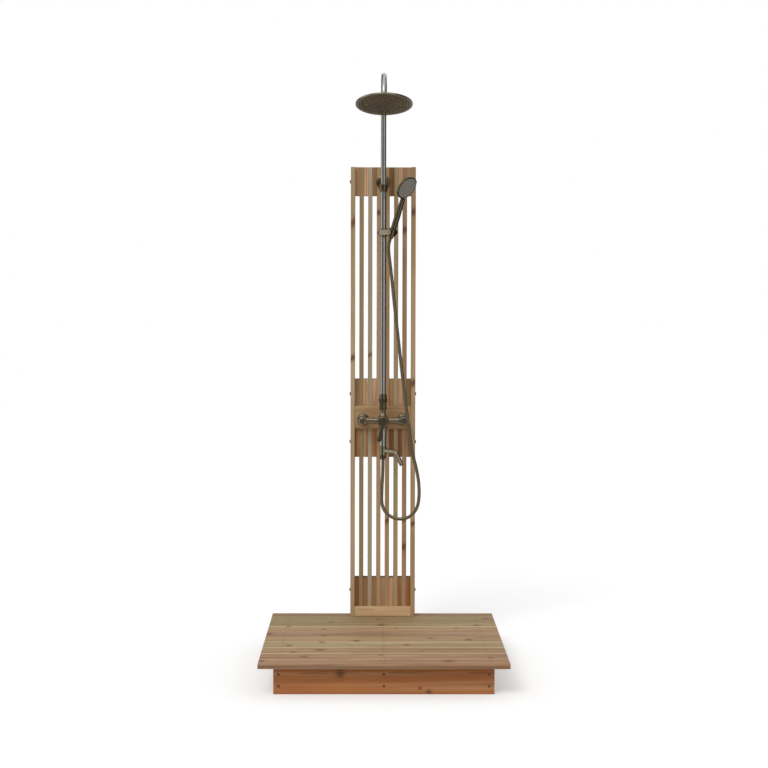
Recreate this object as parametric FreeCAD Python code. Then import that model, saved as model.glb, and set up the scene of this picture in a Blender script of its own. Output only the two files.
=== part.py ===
import FreeCAD, Part
import math
import os

os.makedirs("parts", exist_ok=True)

# An outdoor shower post: a square timber deck, a slatted post that stands on its back edge, and an
# exposed shower set on the post's front. Millimetres. The origin is on the ground under the middle
# of the deck, +X to the right of someone facing the shower, +Y towards the post, +Z up.

# ---------------------------------------------------------------- deck
DECK_WIDTH = 915.0
DECK_DEPTH = 915.0
DECK_BOARD_THICKNESS = 18.0
DECK_BOARD_WIDTH = 92.0
DECK_BOARD_GAP = 3.0
FULL_DECK_BOARDS = 9
DECK_EDGE_EASE = 2.5
DECK_NOSE = 7.0
DECK_OVERHANG = 54.0
APRON_HEIGHT = 104.0
APRON_THICKNESS = 18.0
JOIST_THICKNESS = 38.0
WOOD_EASE = 1.5

FOOT_SCREW_SHANK = 4.0
FOOT_SCREW_REACH = 70.0
FOOT_SCREW_HEAD_FLATS = 13.0
FOOT_SCREW_HEAD_HEIGHT = 5.5
FOOT_SCREW_FORWARD = 3.5

# ---------------------------------------------------------------- post
POST_WIDTH = 267.0
POST_HEIGHT = 1855.0
SLATS = 8
OUTER_SLAT_DEPTH = 63.5
FRONT_BOARD_THICKNESS = 18.0
TOP_SPACER_HEIGHT = 116.5
MIDDLE_SPACER_BASE = 660.0
MIDDLE_SPACER_HEIGHT = 323.0
BOTTOM_SPACER_HEIGHT = 157.0
TOE_BOARD_HEIGHT = 39.0
MIXER_BOARD_HEIGHT = 96.0
MIXER_BOARD_DROP = 40.0
MIXER_BOARD_BEVEL = 7.0

BOLT_RADIUS = 4.0
BOLT_HOLE_CLEARANCE = 0.3
BOLT_HEAD_RADIUS = 8.0
BOLT_HEAD_HEIGHT = 5.0
BOLT_END = 2.5
MIDDLE_BOLT_INSET = 62.0
BOTTOM_BOLT_INSET = 53.0

# ---------------------------------------------------------------- mixer
PIPE_STANDOFF = 70.0
MIXER_HEIGHT = 817.0
INLET_SPACING = 164.0
TAIL_RADIUS = 10.2
TAIL_THREAD_RADIUS = 10.475
TAIL_THREAD_LENGTH = 14.0
TAIL_BORE = 7.5
TAIL_COLLAR_RADIUS = 12.7
TAIL_COLLAR_LENGTH = 4.0
TAIL_BEHIND_POST = 24.0
TAIL_HOLE_CLEARANCE = 1.0
BACK_NUT_FLATS = 27.0
BACK_NUT_LENGTH = 7.0
BACK_WASHER_RADIUS = 17.0
BACK_WASHER_THICKNESS = 2.0
ESCUTCHEON_RADIUS = 25.0
ESCUTCHEON_DEPTH = 9.0
BOSS_RADIUS = 17.0
BOSS_HALF_LENGTH = 17.0
BOSS_NECK_RADIUS = 12.9
UNION_NUT_FLATS = 31.0
UNION_NUT_LENGTH = 22.0
BAR_RADIUS = 13.0
BAR_RING_RADIUS = 15.0
HOUSING_RADIUS = 23.0
HOUSING_FRONT = 21.0
HOUSING_BACK = 23.0
CARTRIDGE_RADIUS = 17.5
CARTRIDGE_LENGTH = 28.0
COLUMN_RADIUS = 14.0
COLUMN_LENGTH = 71.0
FIT = 0.05
LOOSE = 0.3

DIVERTER_RADIUS = 15.0
DIVERTER_HEIGHT = 33.0
DIVERTER_BASE = 45.0
DIVERTER_STEM_RADIUS = 9.0
DIVERTER_FLUTES = 8
DIVERTER_FLUTE_RADIUS = 3.0
RISER_NUT_FLATS = 31.0
RISER_NUT_HEX_HEIGHT = 14.0
RISER_NUT_CONE_HEIGHT = 18.0

PIVOT_AHEAD = 31.0
DOME_RADIUS = 19.6
DOME_FLANGE_RADIUS = 22.0
DOME_FLANGE_THICKNESS = 3.0
DOME_MOUTH_RADIUS = 15.0
SPINDLE_RADIUS = 5.0
SPINDLE_BALL_RADIUS = 7.0
LEVER_HUB_RADIUS = 23.5
LEVER_HUB_FRONT = 25.0
LEVER_BOSS_RADIUS = 9.0
LEVER_LENGTH = 78.0
LEVER_WIDTH = 17.0
LEVER_THICKNESS = 8.0
LEVER_FORWARD = 6.0
LEVER_LEAN_DEG = 12.0

# ---------------------------------------------------------------- spout and hose outlet
SPOUT_COLLAR_RADIUS = 14.5
SPOUT_COLLAR_HEIGHT = 38.0
SPINDLE_TUBE_RADIUS = 10.0
SPOUT_TUBE_RADIUS = 9.5
SPOUT_WALL = 1.5
SPOUT_BEND_RADIUS = 26.0
SPOUT_REACH = 98.0
SPOUT_DROP = 50.0
SPOUT_FALL_DEG = 56.0
SPOUT_AZIMUTH_DEG = 50.0
AERATOR_LENGTH = 9.0
AERATOR_LIP = 2.0
HOSE_NUT_HEIGHT = 18.0
HOSE_NUT_RADIUS = 13.0

# ---------------------------------------------------------------- riser and rain head
RISER_RADIUS = 12.5
ARM_RADIUS = 11.0
ARM_WALL = 1.5
ARM_INSERT = 395.0
ARCH_RADIUS = 116.0
ARCH_TURN_DEG = 164.5
ARCH_TOP = 2335.0
BRACKET_BELOW_TOP = 62.0
FLANGE_RADIUS = 29.0
FLANGE_THICKNESS = 6.0
BRACKET_RING_RADIUS = 18.5
BRACKET_RING_HEIGHT = 18.0
BRACKET_RING_DROP = 13.0
BRACKET_CONE_HEIGHT = 13.0
BRACKET_LIP = 6.0
BRACKET_ARM_RADIUS = 8.0

BALL_RADIUS = 10.0
BALL_AHEAD = 19.0
BALL_NECK_RADIUS = 5.5
BALL_COLLAR_FLATS = 25.0
BALL_COLLAR_LENGTH = 8.0
SEAT_RADIUS = 13.0
SWIVEL_NUT_RADIUS = 17.0
SWIVEL_NUT_TOP = 8.0
SWIVEL_NUT_BOTTOM = 9.0
HEAD_RADIUS = 112.0
HEAD_RIM = 7.0
HEAD_FACE = 26.0
HEAD_NECK_RADIUS = 21.0
HEAD_CHAMBER_RADIUS = 99.0
HEAD_CHAMBER_TOP = 15.5
HEAD_WALL = 2.5
RAIN_PLATE_RADIUS = 105.0
RAIN_PLATE_THICKNESS = 2.5

# ---------------------------------------------------------------- slider and handset
SLIDER_BELOW_TOP = 271.0
SLIDER_AZIMUTH_DEG = 48.0
BUSH_WALL = 1.9
BUSH_HALF_HEIGHT = 15.0
BUSH_FLANGE = 1.8
BUSH_FLANGE_RADIUS = 16.6
SLIDER_RADIUS = 18.0
SLIDER_HALF_HEIGHT = 13.0
HOLDER_REACH = 48.0
CHEEK_INNER = 17.3
CHEEK_THICKNESS = 4.0
CHEEK_END_RADIUS = 9.5
HOLDER_RADIUS = 16.5
HOLDER_HALF_HEIGHT = 15.0
HOLDER_SLOT = 16.0
TRUNNION_RADIUS = 4.0
KNOB_RADIUS = 7.5
KNOB_LENGTH = 12.0
KNOB_THREAD_RADIUS = 3.0
KNOB_FLUTES = 6

HANDSET_LEAN_DEG = 23.0
HANDSET_FACE_DEG = 32.0
CONE_MID_RADIUS = 11.35
CONE_TAPER = 0.05
CONE_BELOW = 26.0
CONE_ABOVE = 16.0
TAIL_STUD_RADIUS = 8.0
TAIL_STUD_LENGTH = 12.0
HANDSET_BORE = 5.5
HANDSET_CHAMBER_RADIUS = 40.0
HANDSET_WALL = 4.0
GRIP_RADIUS = 11.5
GRIP_WAIST_RADIUS = 10.0
HANDSET_REACH = 193.0
HANDSET_HEAD_RADIUS = 49.0
HANDSET_HEAD_BACK = 15.0
HANDSET_HEAD_FRONT = 5.0
SPRAY_PLATE_RADIUS = 43.0
SPRAY_PLATE_THICKNESS = 2.5

# ---------------------------------------------------------------- hose
HOSE_DIAMETER = 14.0
HOSE_BORE = 4.5
HOSE_EXIT_RUN = 40.0
HOSE_ENTRY_RUN = 22.0
HOSE_ROUTE = (
    (-4.0, 323.0, 665.0),
    (-6.0, 317.0, 584.0),
    (37.0, 309.0, 541.0),
    (98.0, 299.0, 539.0),
    (141.0, 290.0, 581.0),
    (149.0, 284.0, 652.0),
    (141.0, 280.0, 728.0),
    (118.0, 279.0, 815.0),
    (99.0, 281.0, 950.0),
    (79.0, 287.0, 1115.0),
    (60.0, 294.0, 1280.0),
    (42.0, 303.0, 1440.0),
    (31.5, 308.5, 1545.0),
    (24.5, 308.0, 1598.0),
    (20.2, 305.9, 1637.9),
)

# ---------------------------------------------------------------- places worked out from the sizes
UP = FreeCAD.Vector(0, 0, 1)
RIGHT = FreeCAD.Vector(1, 0, 0)
BACKWARD = FreeCAD.Vector(0, 1, 0)
FORWARD = FreeCAD.Vector(0, -1, 0)

deck_top = APRON_HEIGHT + DECK_BOARD_THICKNESS
deck_back = DECK_DEPTH / 2
layer = POST_WIDTH / (2 * SLATS - 1)
post_top = deck_top + POST_HEIGHT
outer_front = deck_back - OUTER_SLAT_DEPTH
inner_front = outer_front + FRONT_BOARD_THICKNESS
inner_width = POST_WIDTH - 2 * layer
bolt_y = (inner_front + deck_back) / 2
foot_y = (inner_front + deck_back - APRON_THICKNESS - FOOT_SCREW_FORWARD) / 2
pipe_y = outer_front - PIPE_STANDOFF
mixer_z = deck_top + MIXER_HEIGHT
middle_base = deck_top + MIDDLE_SPACER_BASE
bottom_top = deck_top + BOTTOM_SPACER_HEIGHT
top_base = post_top - TOP_SPACER_HEIGHT
bolt_heights = (
    post_top - TOP_SPACER_HEIGHT / 2,
    middle_base + MIDDLE_SPACER_HEIGHT - MIDDLE_BOLT_INSET,
    middle_base + MIDDLE_BOLT_INSET,
    bottom_top - BOTTOM_BOLT_INSET,
)
inlets = (-INLET_SPACING / 2, INLET_SPACING / 2)
pipe = FreeCAD.Vector(0, pipe_y, 0)
mixer = FreeCAD.Vector(0, pipe_y, mixer_z)


def heading(azimuth_deg):
    """A level direction, turned from straight ahead towards the right."""
    turn = math.radians(azimuth_deg)
    return FreeCAD.Vector(math.sin(turn), -math.cos(turn), 0)


def frame(origin, z_axis, x_axis):
    """A placement whose own z and x axes point the ways given."""
    y_axis = z_axis.cross(x_axis)
    return FreeCAD.Placement(origin, FreeCAD.Rotation(x_axis, y_axis, z_axis, "ZXY"))


def seat(shape, place):
    placed = shape.copy()
    placed.Placement = place.multiply(placed.Placement)
    return placed


def block(low, high):
    size = FreeCAD.Vector(*high) - FreeCAD.Vector(*low)
    return Part.makeBox(size.x, size.y, size.z, FreeCAD.Vector(*low))


def rod(start, direction, length, radius):
    return Part.makeCylinder(radius, length, start, direction)


def outline(points):
    """A closed face in the XZ plane. An entry is a point, or a pair: an arc's middle and its end."""
    edges = []
    here = points[0]
    for entry in list(points[1:]) + [points[0]]:
        arc = isinstance(entry[0], tuple)
        there = entry[1] if arc else entry
        a, b = FreeCAD.Vector(here[0], 0, here[1]), FreeCAD.Vector(there[0], 0, there[1])
        if arc:
            middle = FreeCAD.Vector(entry[0][0], 0, entry[0][1])
            edges.append(Part.Arc(a, middle, b).toShape())
        elif (b - a).Length > 1e-6:
            edges.append(Part.LineSegment(a, b).toShape())
        here = there
    return Part.Face(Part.Wire(edges))


def turned(points):
    """A solid of revolution about Z, from (radius, height) points."""
    return outline(points).revolve(FreeCAD.Vector(), UP, 360)


def eased_bar(width, depth, length, ease):
    """A bar along Z whose four long edges are eased, with its section's low corner at the origin."""
    w, d, e = width, depth, ease
    corners = [(e, 0), (w - e, 0), (w, e), (w, d - e), (w - e, d), (e, d), (0, d - e), (0, e)]
    points = [FreeCAD.Vector(x, y, 0) for x, y in corners]
    face = Part.Face(Part.makePolygon(points + points[:1]))
    return face.extrude(FreeCAD.Vector(0, 0, length))


def hexagon(flats, length):
    reach = flats / math.sqrt(3)
    points = [FreeCAD.Vector(reach * math.cos(k * math.pi / 3), reach * math.sin(k * math.pi / 3), 0)
              for k in range(6)]
    return Part.Face(Part.makePolygon(points + points[:1])).extrude(FreeCAD.Vector(0, 0, length))


def nut(flats, length):
    """A hexagon whose corners are turned off at both ends."""
    reach = flats / math.sqrt(3)
    bevel = reach - flats / 2
    limit = turned([(0, 0), (flats / 2, 0), (reach, bevel), (reach, length - bevel),
                    (flats / 2, length), (0, length)])
    return hexagon(flats, length).common(limit)


def fluted(body, count, radius, flute_radius, length):
    """A turned knob along Z with hollow flutes around it."""
    for k in range(count):
        turn = 2 * math.pi * k / count
        middle = FreeCAD.Vector(radius * math.cos(turn), radius * math.sin(turn), -1)
        body = body.cut(rod(middle, UP, length + 2, flute_radius))
    return body


def save(name, shape):
    """Writes one sub-part, after a look at its solids."""
    solids = shape.Solids
    whole = solids[0] if len(solids) == 1 else Part.makeCompound(solids)
    if not solids or not whole.isValid():
        raise ValueError(f"{name} is not a sound solid")
    whole.exportStep(f"parts/{name}.step")
    return whole


# ---------------------------------------------------------------- deck
def deck_boards():
    """Boards across the deck, from a round-nosed front board to a ripped strip at the back."""
    pitch = DECK_BOARD_WIDTH + DECK_BOARD_GAP
    strip = DECK_DEPTH - FULL_DECK_BOARDS * pitch
    boards = []
    t, e, n = DECK_BOARD_THICKNESS, DECK_EDGE_EASE, DECK_NOSE
    for k in range(FULL_DECK_BOARDS + 1):
        w = DECK_BOARD_WIDTH if k < FULL_DECK_BOARDS else strip
        if k == 0:
            bend = n * (1 - math.sqrt(0.5))
            section = [(n, 0), (w, 0), (w, t - e), (w - e, t), (n, t),
                       ((bend, t - bend), (0, t - n)), (0, n), ((bend, bend), (n, 0))]
        else:
            section = [(0, 0), (w, 0), (w, t - e), (w - e, t), (e, t), (0, t - e)]
        board = outline(section).extrude(FreeCAD.Vector(0, DECK_WIDTH, 0))
        place = frame(FreeCAD.Vector(DECK_WIDTH / 2, k * pitch - deck_back, APRON_HEIGHT), UP, BACKWARD)
        boards.append(seat(board, place))
    return boards


def aprons_and_joists():
    """Front and rear boards on edge, and three joists between them. Returns both aprons and the joists."""
    width = DECK_WIDTH - 2 * DECK_OVERHANG
    front = -deck_back + DECK_OVERHANG
    rear = deck_back - APRON_THICKNESS
    lying = frame(FreeCAD.Vector(-width / 2, front, 0), RIGHT, BACKWARD)
    apron = eased_bar(APRON_THICKNESS, APRON_HEIGHT, width, WOOD_EASE)
    front_apron = seat(apron, lying)
    rear_apron = seat(apron, frame(FreeCAD.Vector(-width / 2, rear, 0), RIGHT, BACKWARD))
    run = rear - front - APRON_THICKNESS
    edge = (width - JOIST_THICKNESS) / 2
    joists = []
    for x in (-edge, 0.0, edge):
        corner = FreeCAD.Vector(x + JOIST_THICKNESS / 2, front + APRON_THICKNESS, 0)
        bar = eased_bar(JOIST_THICKNESS, APRON_HEIGHT, run, WOOD_EASE)
        joists.append(seat(bar, frame(corner, BACKWARD, RIGHT.negative())))
    return front_apron, rear_apron, joists


def foot_screw():
    """A hexagon-headed screw along Z, the underside of its head at the origin."""
    stem = rod(FreeCAD.Vector(), UP, DECK_BOARD_THICKNESS + FOOT_SCREW_REACH, FOOT_SCREW_SHANK)
    head = hexagon(FOOT_SCREW_HEAD_FLATS, FOOT_SCREW_HEAD_HEIGHT)
    head.translate(FreeCAD.Vector(0, 0, -FOOT_SCREW_HEAD_HEIGHT))
    return stem.fuse(head)


def foot_screw_places():
    """Up through the deck strip, into the four bottom spacers either side of the middle one."""
    return [FreeCAD.Vector(side * k * 2 * layer, foot_y, APRON_HEIGHT) for side in (-1, 1) for k in (1, 2)]


# ---------------------------------------------------------------- post
def layer_left(number):
    """The left face of one of the post's layers, counted from 0."""
    return -POST_WIDTH / 2 + number * layer


def bolt_holes():
    radius = BOLT_RADIUS + BOLT_HOLE_CLEARANCE
    start = -POST_WIDTH / 2 - 1
    return [rod(FreeCAD.Vector(start, bolt_y, z), RIGHT, POST_WIDTH + 2, radius) for z in bolt_heights]


def tail_holes():
    radius = TAIL_RADIUS + TAIL_HOLE_CLEARANCE
    return [rod(FreeCAD.Vector(x, outer_front - 1, mixer_z), BACKWARD, OUTER_SLAT_DEPTH + 2, radius)
            for x in inlets]


def drilled(wood, holes):
    """The wood without those holes that reach it."""
    reached = [hole for hole in holes if hole.BoundBox.intersect(wood.BoundBox)]
    return wood.cut(reached) if reached else wood


def slat(number, holes):
    outer = number in (0, SLATS - 1)
    front = outer_front if outer else inner_front
    bar = eased_bar(layer, deck_back - front, POST_HEIGHT, WOOD_EASE)
    bar.translate(FreeCAD.Vector(layer_left(2 * number), front, deck_top))
    return drilled(bar, holes)


def spacers(base, height, holes):
    """The seven short pieces that hold the slats apart at one level."""
    pieces = []
    for k in range(SLATS - 1):
        left = layer_left(2 * k + 1)
        piece = block((left, inner_front, base), (left + layer, deck_back, base + height))
        pieces.append(drilled(piece, holes))
    return Part.makeCompound(pieces)


def front_board(base, height, bevel):
    """A board on edge between the outer slats, its front edges bevelled."""
    t, b = FRONT_BOARD_THICKNESS, bevel
    section = [(b, 0), (t, 0), (t, height), (b, height), (0, height - b), (0, b)]
    board = outline(section).extrude(FreeCAD.Vector(0, inner_width, 0))
    return seat(board, frame(FreeCAD.Vector(inner_width / 2, outer_front, base), UP, BACKWARD))


def dome(radius, base, top):
    """The last arc of a turned outline, from (radius, base) over to the axis at top."""
    rise = top - base
    ball = (radius ** 2 + rise ** 2) / (2 * rise)
    half = math.asin(radius / ball) / 2
    return (ball * math.sin(half), top - ball + ball * math.cos(half)), (0, top)


def through_bolts():
    """Round-headed bolts across the post, their heads on the left."""
    r, s, edge = BOLT_HEAD_RADIUS, BOLT_RADIUS, 1.0
    shank = rod(FreeCAD.Vector(), UP, POST_WIDTH + BOLT_END, s)
    head = turned([(0, 0), (r, 0), (r, edge), dome(r, edge, BOLT_HEAD_HEIGHT)])
    places = [FreeCAD.Vector(-POST_WIDTH / 2, bolt_y, z) for z in bolt_heights]
    return [seat(shank, frame(p, RIGHT, BACKWARD)).fuse(seat(head, frame(p, RIGHT.negative(), BACKWARD)))
            for p in places]


def bolt_nuts():
    """The round cap nuts at the bolts' right ends."""
    r, s, edge, deep = BOLT_HEAD_RADIUS, BOLT_RADIUS + FIT, 1.0, BOLT_END + LOOSE
    cap = turned([(s, 0), (r, 0), (r, edge), dome(r, edge, BOLT_HEAD_HEIGHT), (0, deep), (s, deep)])
    places = [frame(FreeCAD.Vector(POST_WIDTH / 2, bolt_y, z), RIGHT, BACKWARD) for z in bolt_heights]
    return Part.makeCompound([seat(cap, place) for place in places])


# ---------------------------------------------------------------- inlets
boss_back = pipe_y + BOSS_HALF_LENGTH
union_seat = boss_back + 12.0
tail_front = union_seat + LOOSE
union_start = boss_back + 2.0


def inlet_tail():
    """A pipe along Z from its collar in the union nut to the supply thread behind the post."""
    length = deck_back + TAIL_BEHIND_POST - tail_front
    thread = length - TAIL_THREAD_LENGTH
    return turned([(TAIL_BORE, 0), (TAIL_COLLAR_RADIUS, 0), (TAIL_COLLAR_RADIUS, TAIL_COLLAR_LENGTH),
                   (TAIL_RADIUS, TAIL_COLLAR_LENGTH), (TAIL_RADIUS, thread), (TAIL_THREAD_RADIUS, thread),
                   (TAIL_THREAD_RADIUS, length - 1.5), (TAIL_THREAD_RADIUS - 1.5, length), (TAIL_BORE, length)])


def union_nut():
    """A hexagon nut along Z that holds the tail's collar against the mixer's neck."""
    body = nut(UNION_NUT_FLATS, UNION_NUT_LENGTH)
    deep = tail_front + TAIL_COLLAR_LENGTH - union_start
    inside = turned([(0, -1), (BOSS_NECK_RADIUS + 0.1, -1), (BOSS_NECK_RADIUS + 0.1, deep),
                     (TAIL_RADIUS + 0.2, deep), (TAIL_RADIUS + 0.2, UNION_NUT_LENGTH + 1),
                     (0, UNION_NUT_LENGTH + 1)])
    return body.cut(inside)


def escutcheon():
    """A domed cover along Z, its wide rim at the origin against the board."""
    r, d, bore = ESCUTCHEON_RADIUS, ESCUTCHEON_DEPTH, TAIL_RADIUS + LOOSE
    neck = UNION_NUT_FLATS / 2
    return turned([(bore, 0), (r, 0), (r, 2.0), ((r * 0.86, d * 0.62), (neck, d)), (bore, d)])


def back_nut():
    """A washer and a thin nut along Z, behind the post."""
    bore = TAIL_RADIUS + 0.1
    washer = turned([(bore, 0), (BACK_WASHER_RADIUS, 0), (BACK_WASHER_RADIUS, BACK_WASHER_THICKNESS),
                     (bore, BACK_WASHER_THICKNESS)])
    ring = hexagon(BACK_NUT_FLATS, BACK_NUT_LENGTH).cut(rod(FreeCAD.Vector(0, 0, -1), UP, 20, bore))
    ring.translate(FreeCAD.Vector(0, 0, BACK_WASHER_THICKNESS))
    return washer.fuse(ring)


def at_inlets(shape, y, direction):
    places = [frame(FreeCAD.Vector(x, y, mixer_z), direction, RIGHT) for x in inlets]
    return Part.makeCompound([seat(shape, place) for place in places])


# ---------------------------------------------------------------- mixer
pivot = mixer + FORWARD * PIVOT_AHEAD
diverter_base = mixer_z + DIVERTER_BASE
diverter_top = diverter_base + DIVERTER_HEIGHT
column_top = mixer_z - BAR_RADIUS - 18.0
shoulder = column_top - COLUMN_LENGTH
collar_base = shoulder - LOOSE - SPOUT_COLLAR_HEIGHT
hose_nut_top = collar_base - LOOSE
hose_outlet = hose_nut_top - HOSE_NUT_HEIGHT


def mixer_body():
    """The bar between the inlets, the cartridge's housing, and the necks above and below it."""
    reach = INLET_SPACING / 2
    bar = rod(mixer - RIGHT * reach, RIGHT, INLET_SPACING, BAR_RADIUS)
    ring = rod(FreeCAD.Vector(), UP, 7.0, BAR_RING_RADIUS)
    parts = [bar]
    for side in (-1, 1):
        parts.append(seat(ring, frame(mixer + RIGHT * (side * (reach - 22.0) - 3.5), RIGHT, UP)))
        l, r, n = 2 * BOSS_HALF_LENGTH, BOSS_RADIUS, BOSS_NECK_RADIUS
        boss = turned([(0, 0), (r - 6, 0), ((r - 1.76, 1.76), (r, 6)), (r, l), (n, l), (n, l + 12.0), (0, l + 12.0)])
        front = mixer + RIGHT * (side * reach) + FORWARD * BOSS_HALF_LENGTH
        parts.append(seat(boss, frame(front, BACKWARD, RIGHT)))
    parts.append(rod(mixer + FORWARD * HOUSING_FRONT, BACKWARD, HOUSING_FRONT + HOUSING_BACK, HOUSING_RADIUS))
    waist = DIVERTER_STEM_RADIUS + 1.5
    low, high, stem_top = 0.0, DIVERTER_BASE - LOOSE, DIVERTER_BASE + DIVERTER_HEIGHT + 16.0
    neck = turned([(0, low), (17.5, low), (17.5, 20.0), ((12.5, 27.0), (waist, 36.0)), (waist + 2, high),
                   (DIVERTER_STEM_RADIUS, high), (DIVERTER_STEM_RADIUS, stem_top), (0, stem_top)])
    parts.append(seat(neck, frame(mixer, UP, RIGHT)))
    drop = mixer_z - column_top
    stub = turned([(0, 0), (18.0, 0), (18.0, HOUSING_RADIUS), (COLUMN_RADIUS + 1.5, drop), (0, drop)])
    parts.append(seat(stub, frame(mixer, UP.negative(), RIGHT)))
    body = parts[0].multiFuse(parts[1:])
    pocket = rod(mixer + FORWARD * (HOUSING_FRONT + 1), BACKWARD, CARTRIDGE_LENGTH + 1, CARTRIDGE_RADIUS)
    riser_way = rod(mixer + UP * 30, UP, stem_top, 6.0)
    column_way = rod(mixer - UP * 26, UP.negative(), drop, 7.0)
    return body.cut([pocket, riser_way, column_way]).removeSplitter()


def cartridge():
    """The ceramic-disc cartridge along Z, open round the spindle."""
    r, l = CARTRIDGE_RADIUS - FIT, CARTRIDGE_LENGTH
    return turned([(0, 0), (r, 0), (r, l), (SPINDLE_RADIUS + FIT, l), (SPINDLE_RADIUS + FIT, l - 14.0), (0, l - 14.0)])


def cartridge_nut():
    """The domed nut along Z over the cartridge, round about the lever's pivot."""
    f, t, r, m = DOME_FLANGE_RADIUS, DOME_FLANGE_THICKNESS, DOME_RADIUS, DOME_MOUTH_RADIUS
    centre = PIVOT_AHEAD - HOUSING_FRONT
    wall = 3.0
    mouth = centre + math.sqrt(r * r - m * m)
    side = math.sqrt(r * r - (t - centre) ** 2)
    inner = m - 0.5
    return turned([(inner, 0), (f, 0), (f, t), (side, t), ((r, centre), (m, mouth)), (inner, mouth - wall)])


def spindle():
    """The cartridge's stem along Z with the ball that the lever tips on."""
    depth = PIVOT_AHEAD - HOUSING_FRONT + 12.0
    ball = Part.makeSphere(SPINDLE_BALL_RADIUS)
    return ball.fuse(rod(FreeCAD.Vector(0, 0, -depth), UP, depth, SPINDLE_RADIUS)).removeSplitter()


def lever():
    """The hub and its handle. Its own z axis points ahead, its own x axis along the handle."""
    r, front, hollow = LEVER_HUB_RADIUS, LEVER_HUB_FRONT, DOME_RADIUS + 0.6
    rim = 5.0
    hub = turned([(0, rim), (r, rim), (r, front - 7.0), ((r - 2.05, front - 2.05), (r - 7.0, front)), (0, front)])
    hub = hub.cut(Part.makeSphere(hollow))
    boss = rod(FreeCAD.Vector(0, 0, 1.0), UP, front - 3.0, LEVER_BOSS_RADIUS)
    sections = []
    steps = ((12.0, 22.0, 10.0), (30.0, 17.5, 9.0), (LEVER_LENGTH - 4.0, LEVER_WIDTH, LEVER_THICKNESS))
    for along, width, thick in steps:
        ahead = front - 8.0 + LEVER_FORWARD * along / LEVER_LENGTH
        e = thick * 0.3
        bar = eased_bar(width, thick, 1.0, e).Faces
        end = min(bar, key=lambda face: face.CenterOfMass.z)
        face = end.copy()
        face.translate(FreeCAD.Vector(-width / 2, -thick / 2, 0))
        place = frame(FreeCAD.Vector(along, 0, ahead), RIGHT, BACKWARD)
        sections.append(seat(face.OuterWire, place))
    handle = Part.makeLoft(sections, True, True)
    tip_radius = LEVER_WIDTH / 2
    tip_ahead = front - 8.0 + LEVER_FORWARD
    tip = rod(FreeCAD.Vector(LEVER_LENGTH - 4.0, 0, tip_ahead - LEVER_THICKNESS / 2), UP, LEVER_THICKNESS, tip_radius)
    whole = hub.multiFuse([boss, handle.cut(Part.makeSphere(hollow)), tip])
    ball = Part.makeSphere(SPINDLE_BALL_RADIUS + FIT)
    throat = turned([(0, 0), (SPINDLE_BALL_RADIUS + FIT, 0), (SPINDLE_BALL_RADIUS + 3.0, -8.0), (0, -8.0)])
    return whole.cut([ball, throat]).removeSplitter()


def diverter_knob():
    """The fluted collar along Z that sends the water to the rain head, the hose or the spout."""
    r, h, bore = DIVERTER_RADIUS, DIVERTER_HEIGHT - LOOSE, DIVERTER_STEM_RADIUS + FIT
    c = 1.8
    body = turned([(bore, 0), (r - c, 0), (r, c), (r, h - c), (r - c, h), (bore, h)])
    return fluted(body, DIVERTER_FLUTES, r + 1.2, DIVERTER_FLUTE_RADIUS, h)


def riser_nut():
    """The nut along Z that joins the riser to the mixer, with a cone up to the pipe."""
    h, top = RISER_NUT_HEX_HEIGHT, RISER_NUT_HEX_HEIGHT + RISER_NUT_CONE_HEIGHT
    flat = RISER_NUT_FLATS / 2
    cone = turned([(0, h - 1), (flat, h - 1), (flat, h + 3), (RISER_RADIUS + 1.2, top), (0, top)])
    body = nut(RISER_NUT_FLATS, h).fuse(cone)
    low = rod(FreeCAD.Vector(0, 0, -1), UP, 17.1, DIVERTER_STEM_RADIUS)
    high = rod(FreeCAD.Vector(0, 0, 16.1), UP, top, RISER_RADIUS)
    return body.cut([low, high])


# ---------------------------------------------------------------- spout and hose outlet
def lower_column():
    """The tube below the mixer, along Z downwards: its lower end is the spout's spindle."""
    turn, end = COLUMN_LENGTH, COLUMN_LENGTH + SPOUT_COLLAR_HEIGHT + 2 * LOOSE
    thread = end + HOSE_NUT_HEIGHT - 6.0
    bore = 5.0
    return turned([(bore, 0), (COLUMN_RADIUS, 0), (COLUMN_RADIUS, turn), (SPINDLE_TUBE_RADIUS, turn),
                   (SPINDLE_TUBE_RADIUS, end), (8.5, end), (8.5, thread), (bore, thread)])


def hose_nut():
    """The nut along Z downwards between the column and the hose."""
    r, h = HOSE_NUT_RADIUS, HOSE_NUT_HEIGHT
    neck = HOSE_DIAMETER / 2 + 1.5
    body = turned([(0, 0), (r, 0), (r, h * 0.55), (neck, h), (0, h)])
    body = body.common(hexagon(2 * r * 0.94, h))
    return body.cut(rod(FreeCAD.Vector(0, 0, -1), UP, h - 5.0, 8.5))


def spout_path():
    """The spout's centre line, in its own upright plane: (out, up) of its straight and falling runs."""
    fall = math.radians(SPOUT_FALL_DEG)
    run = SPOUT_DROP / math.tan(fall)
    corner = (SPOUT_REACH - run, 0.0)
    cut = SPOUT_BEND_RADIUS * math.tan(fall / 2)
    start = (corner[0] - cut, 0.0)
    finish = (corner[0] + cut * math.cos(fall), -cut * math.sin(fall))
    half = fall / 2
    middle = (start[0] + SPOUT_BEND_RADIUS * math.sin(half), -SPOUT_BEND_RADIUS * (1 - math.cos(half)))
    return start, middle, finish, (SPOUT_REACH, -SPOUT_DROP)


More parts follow.
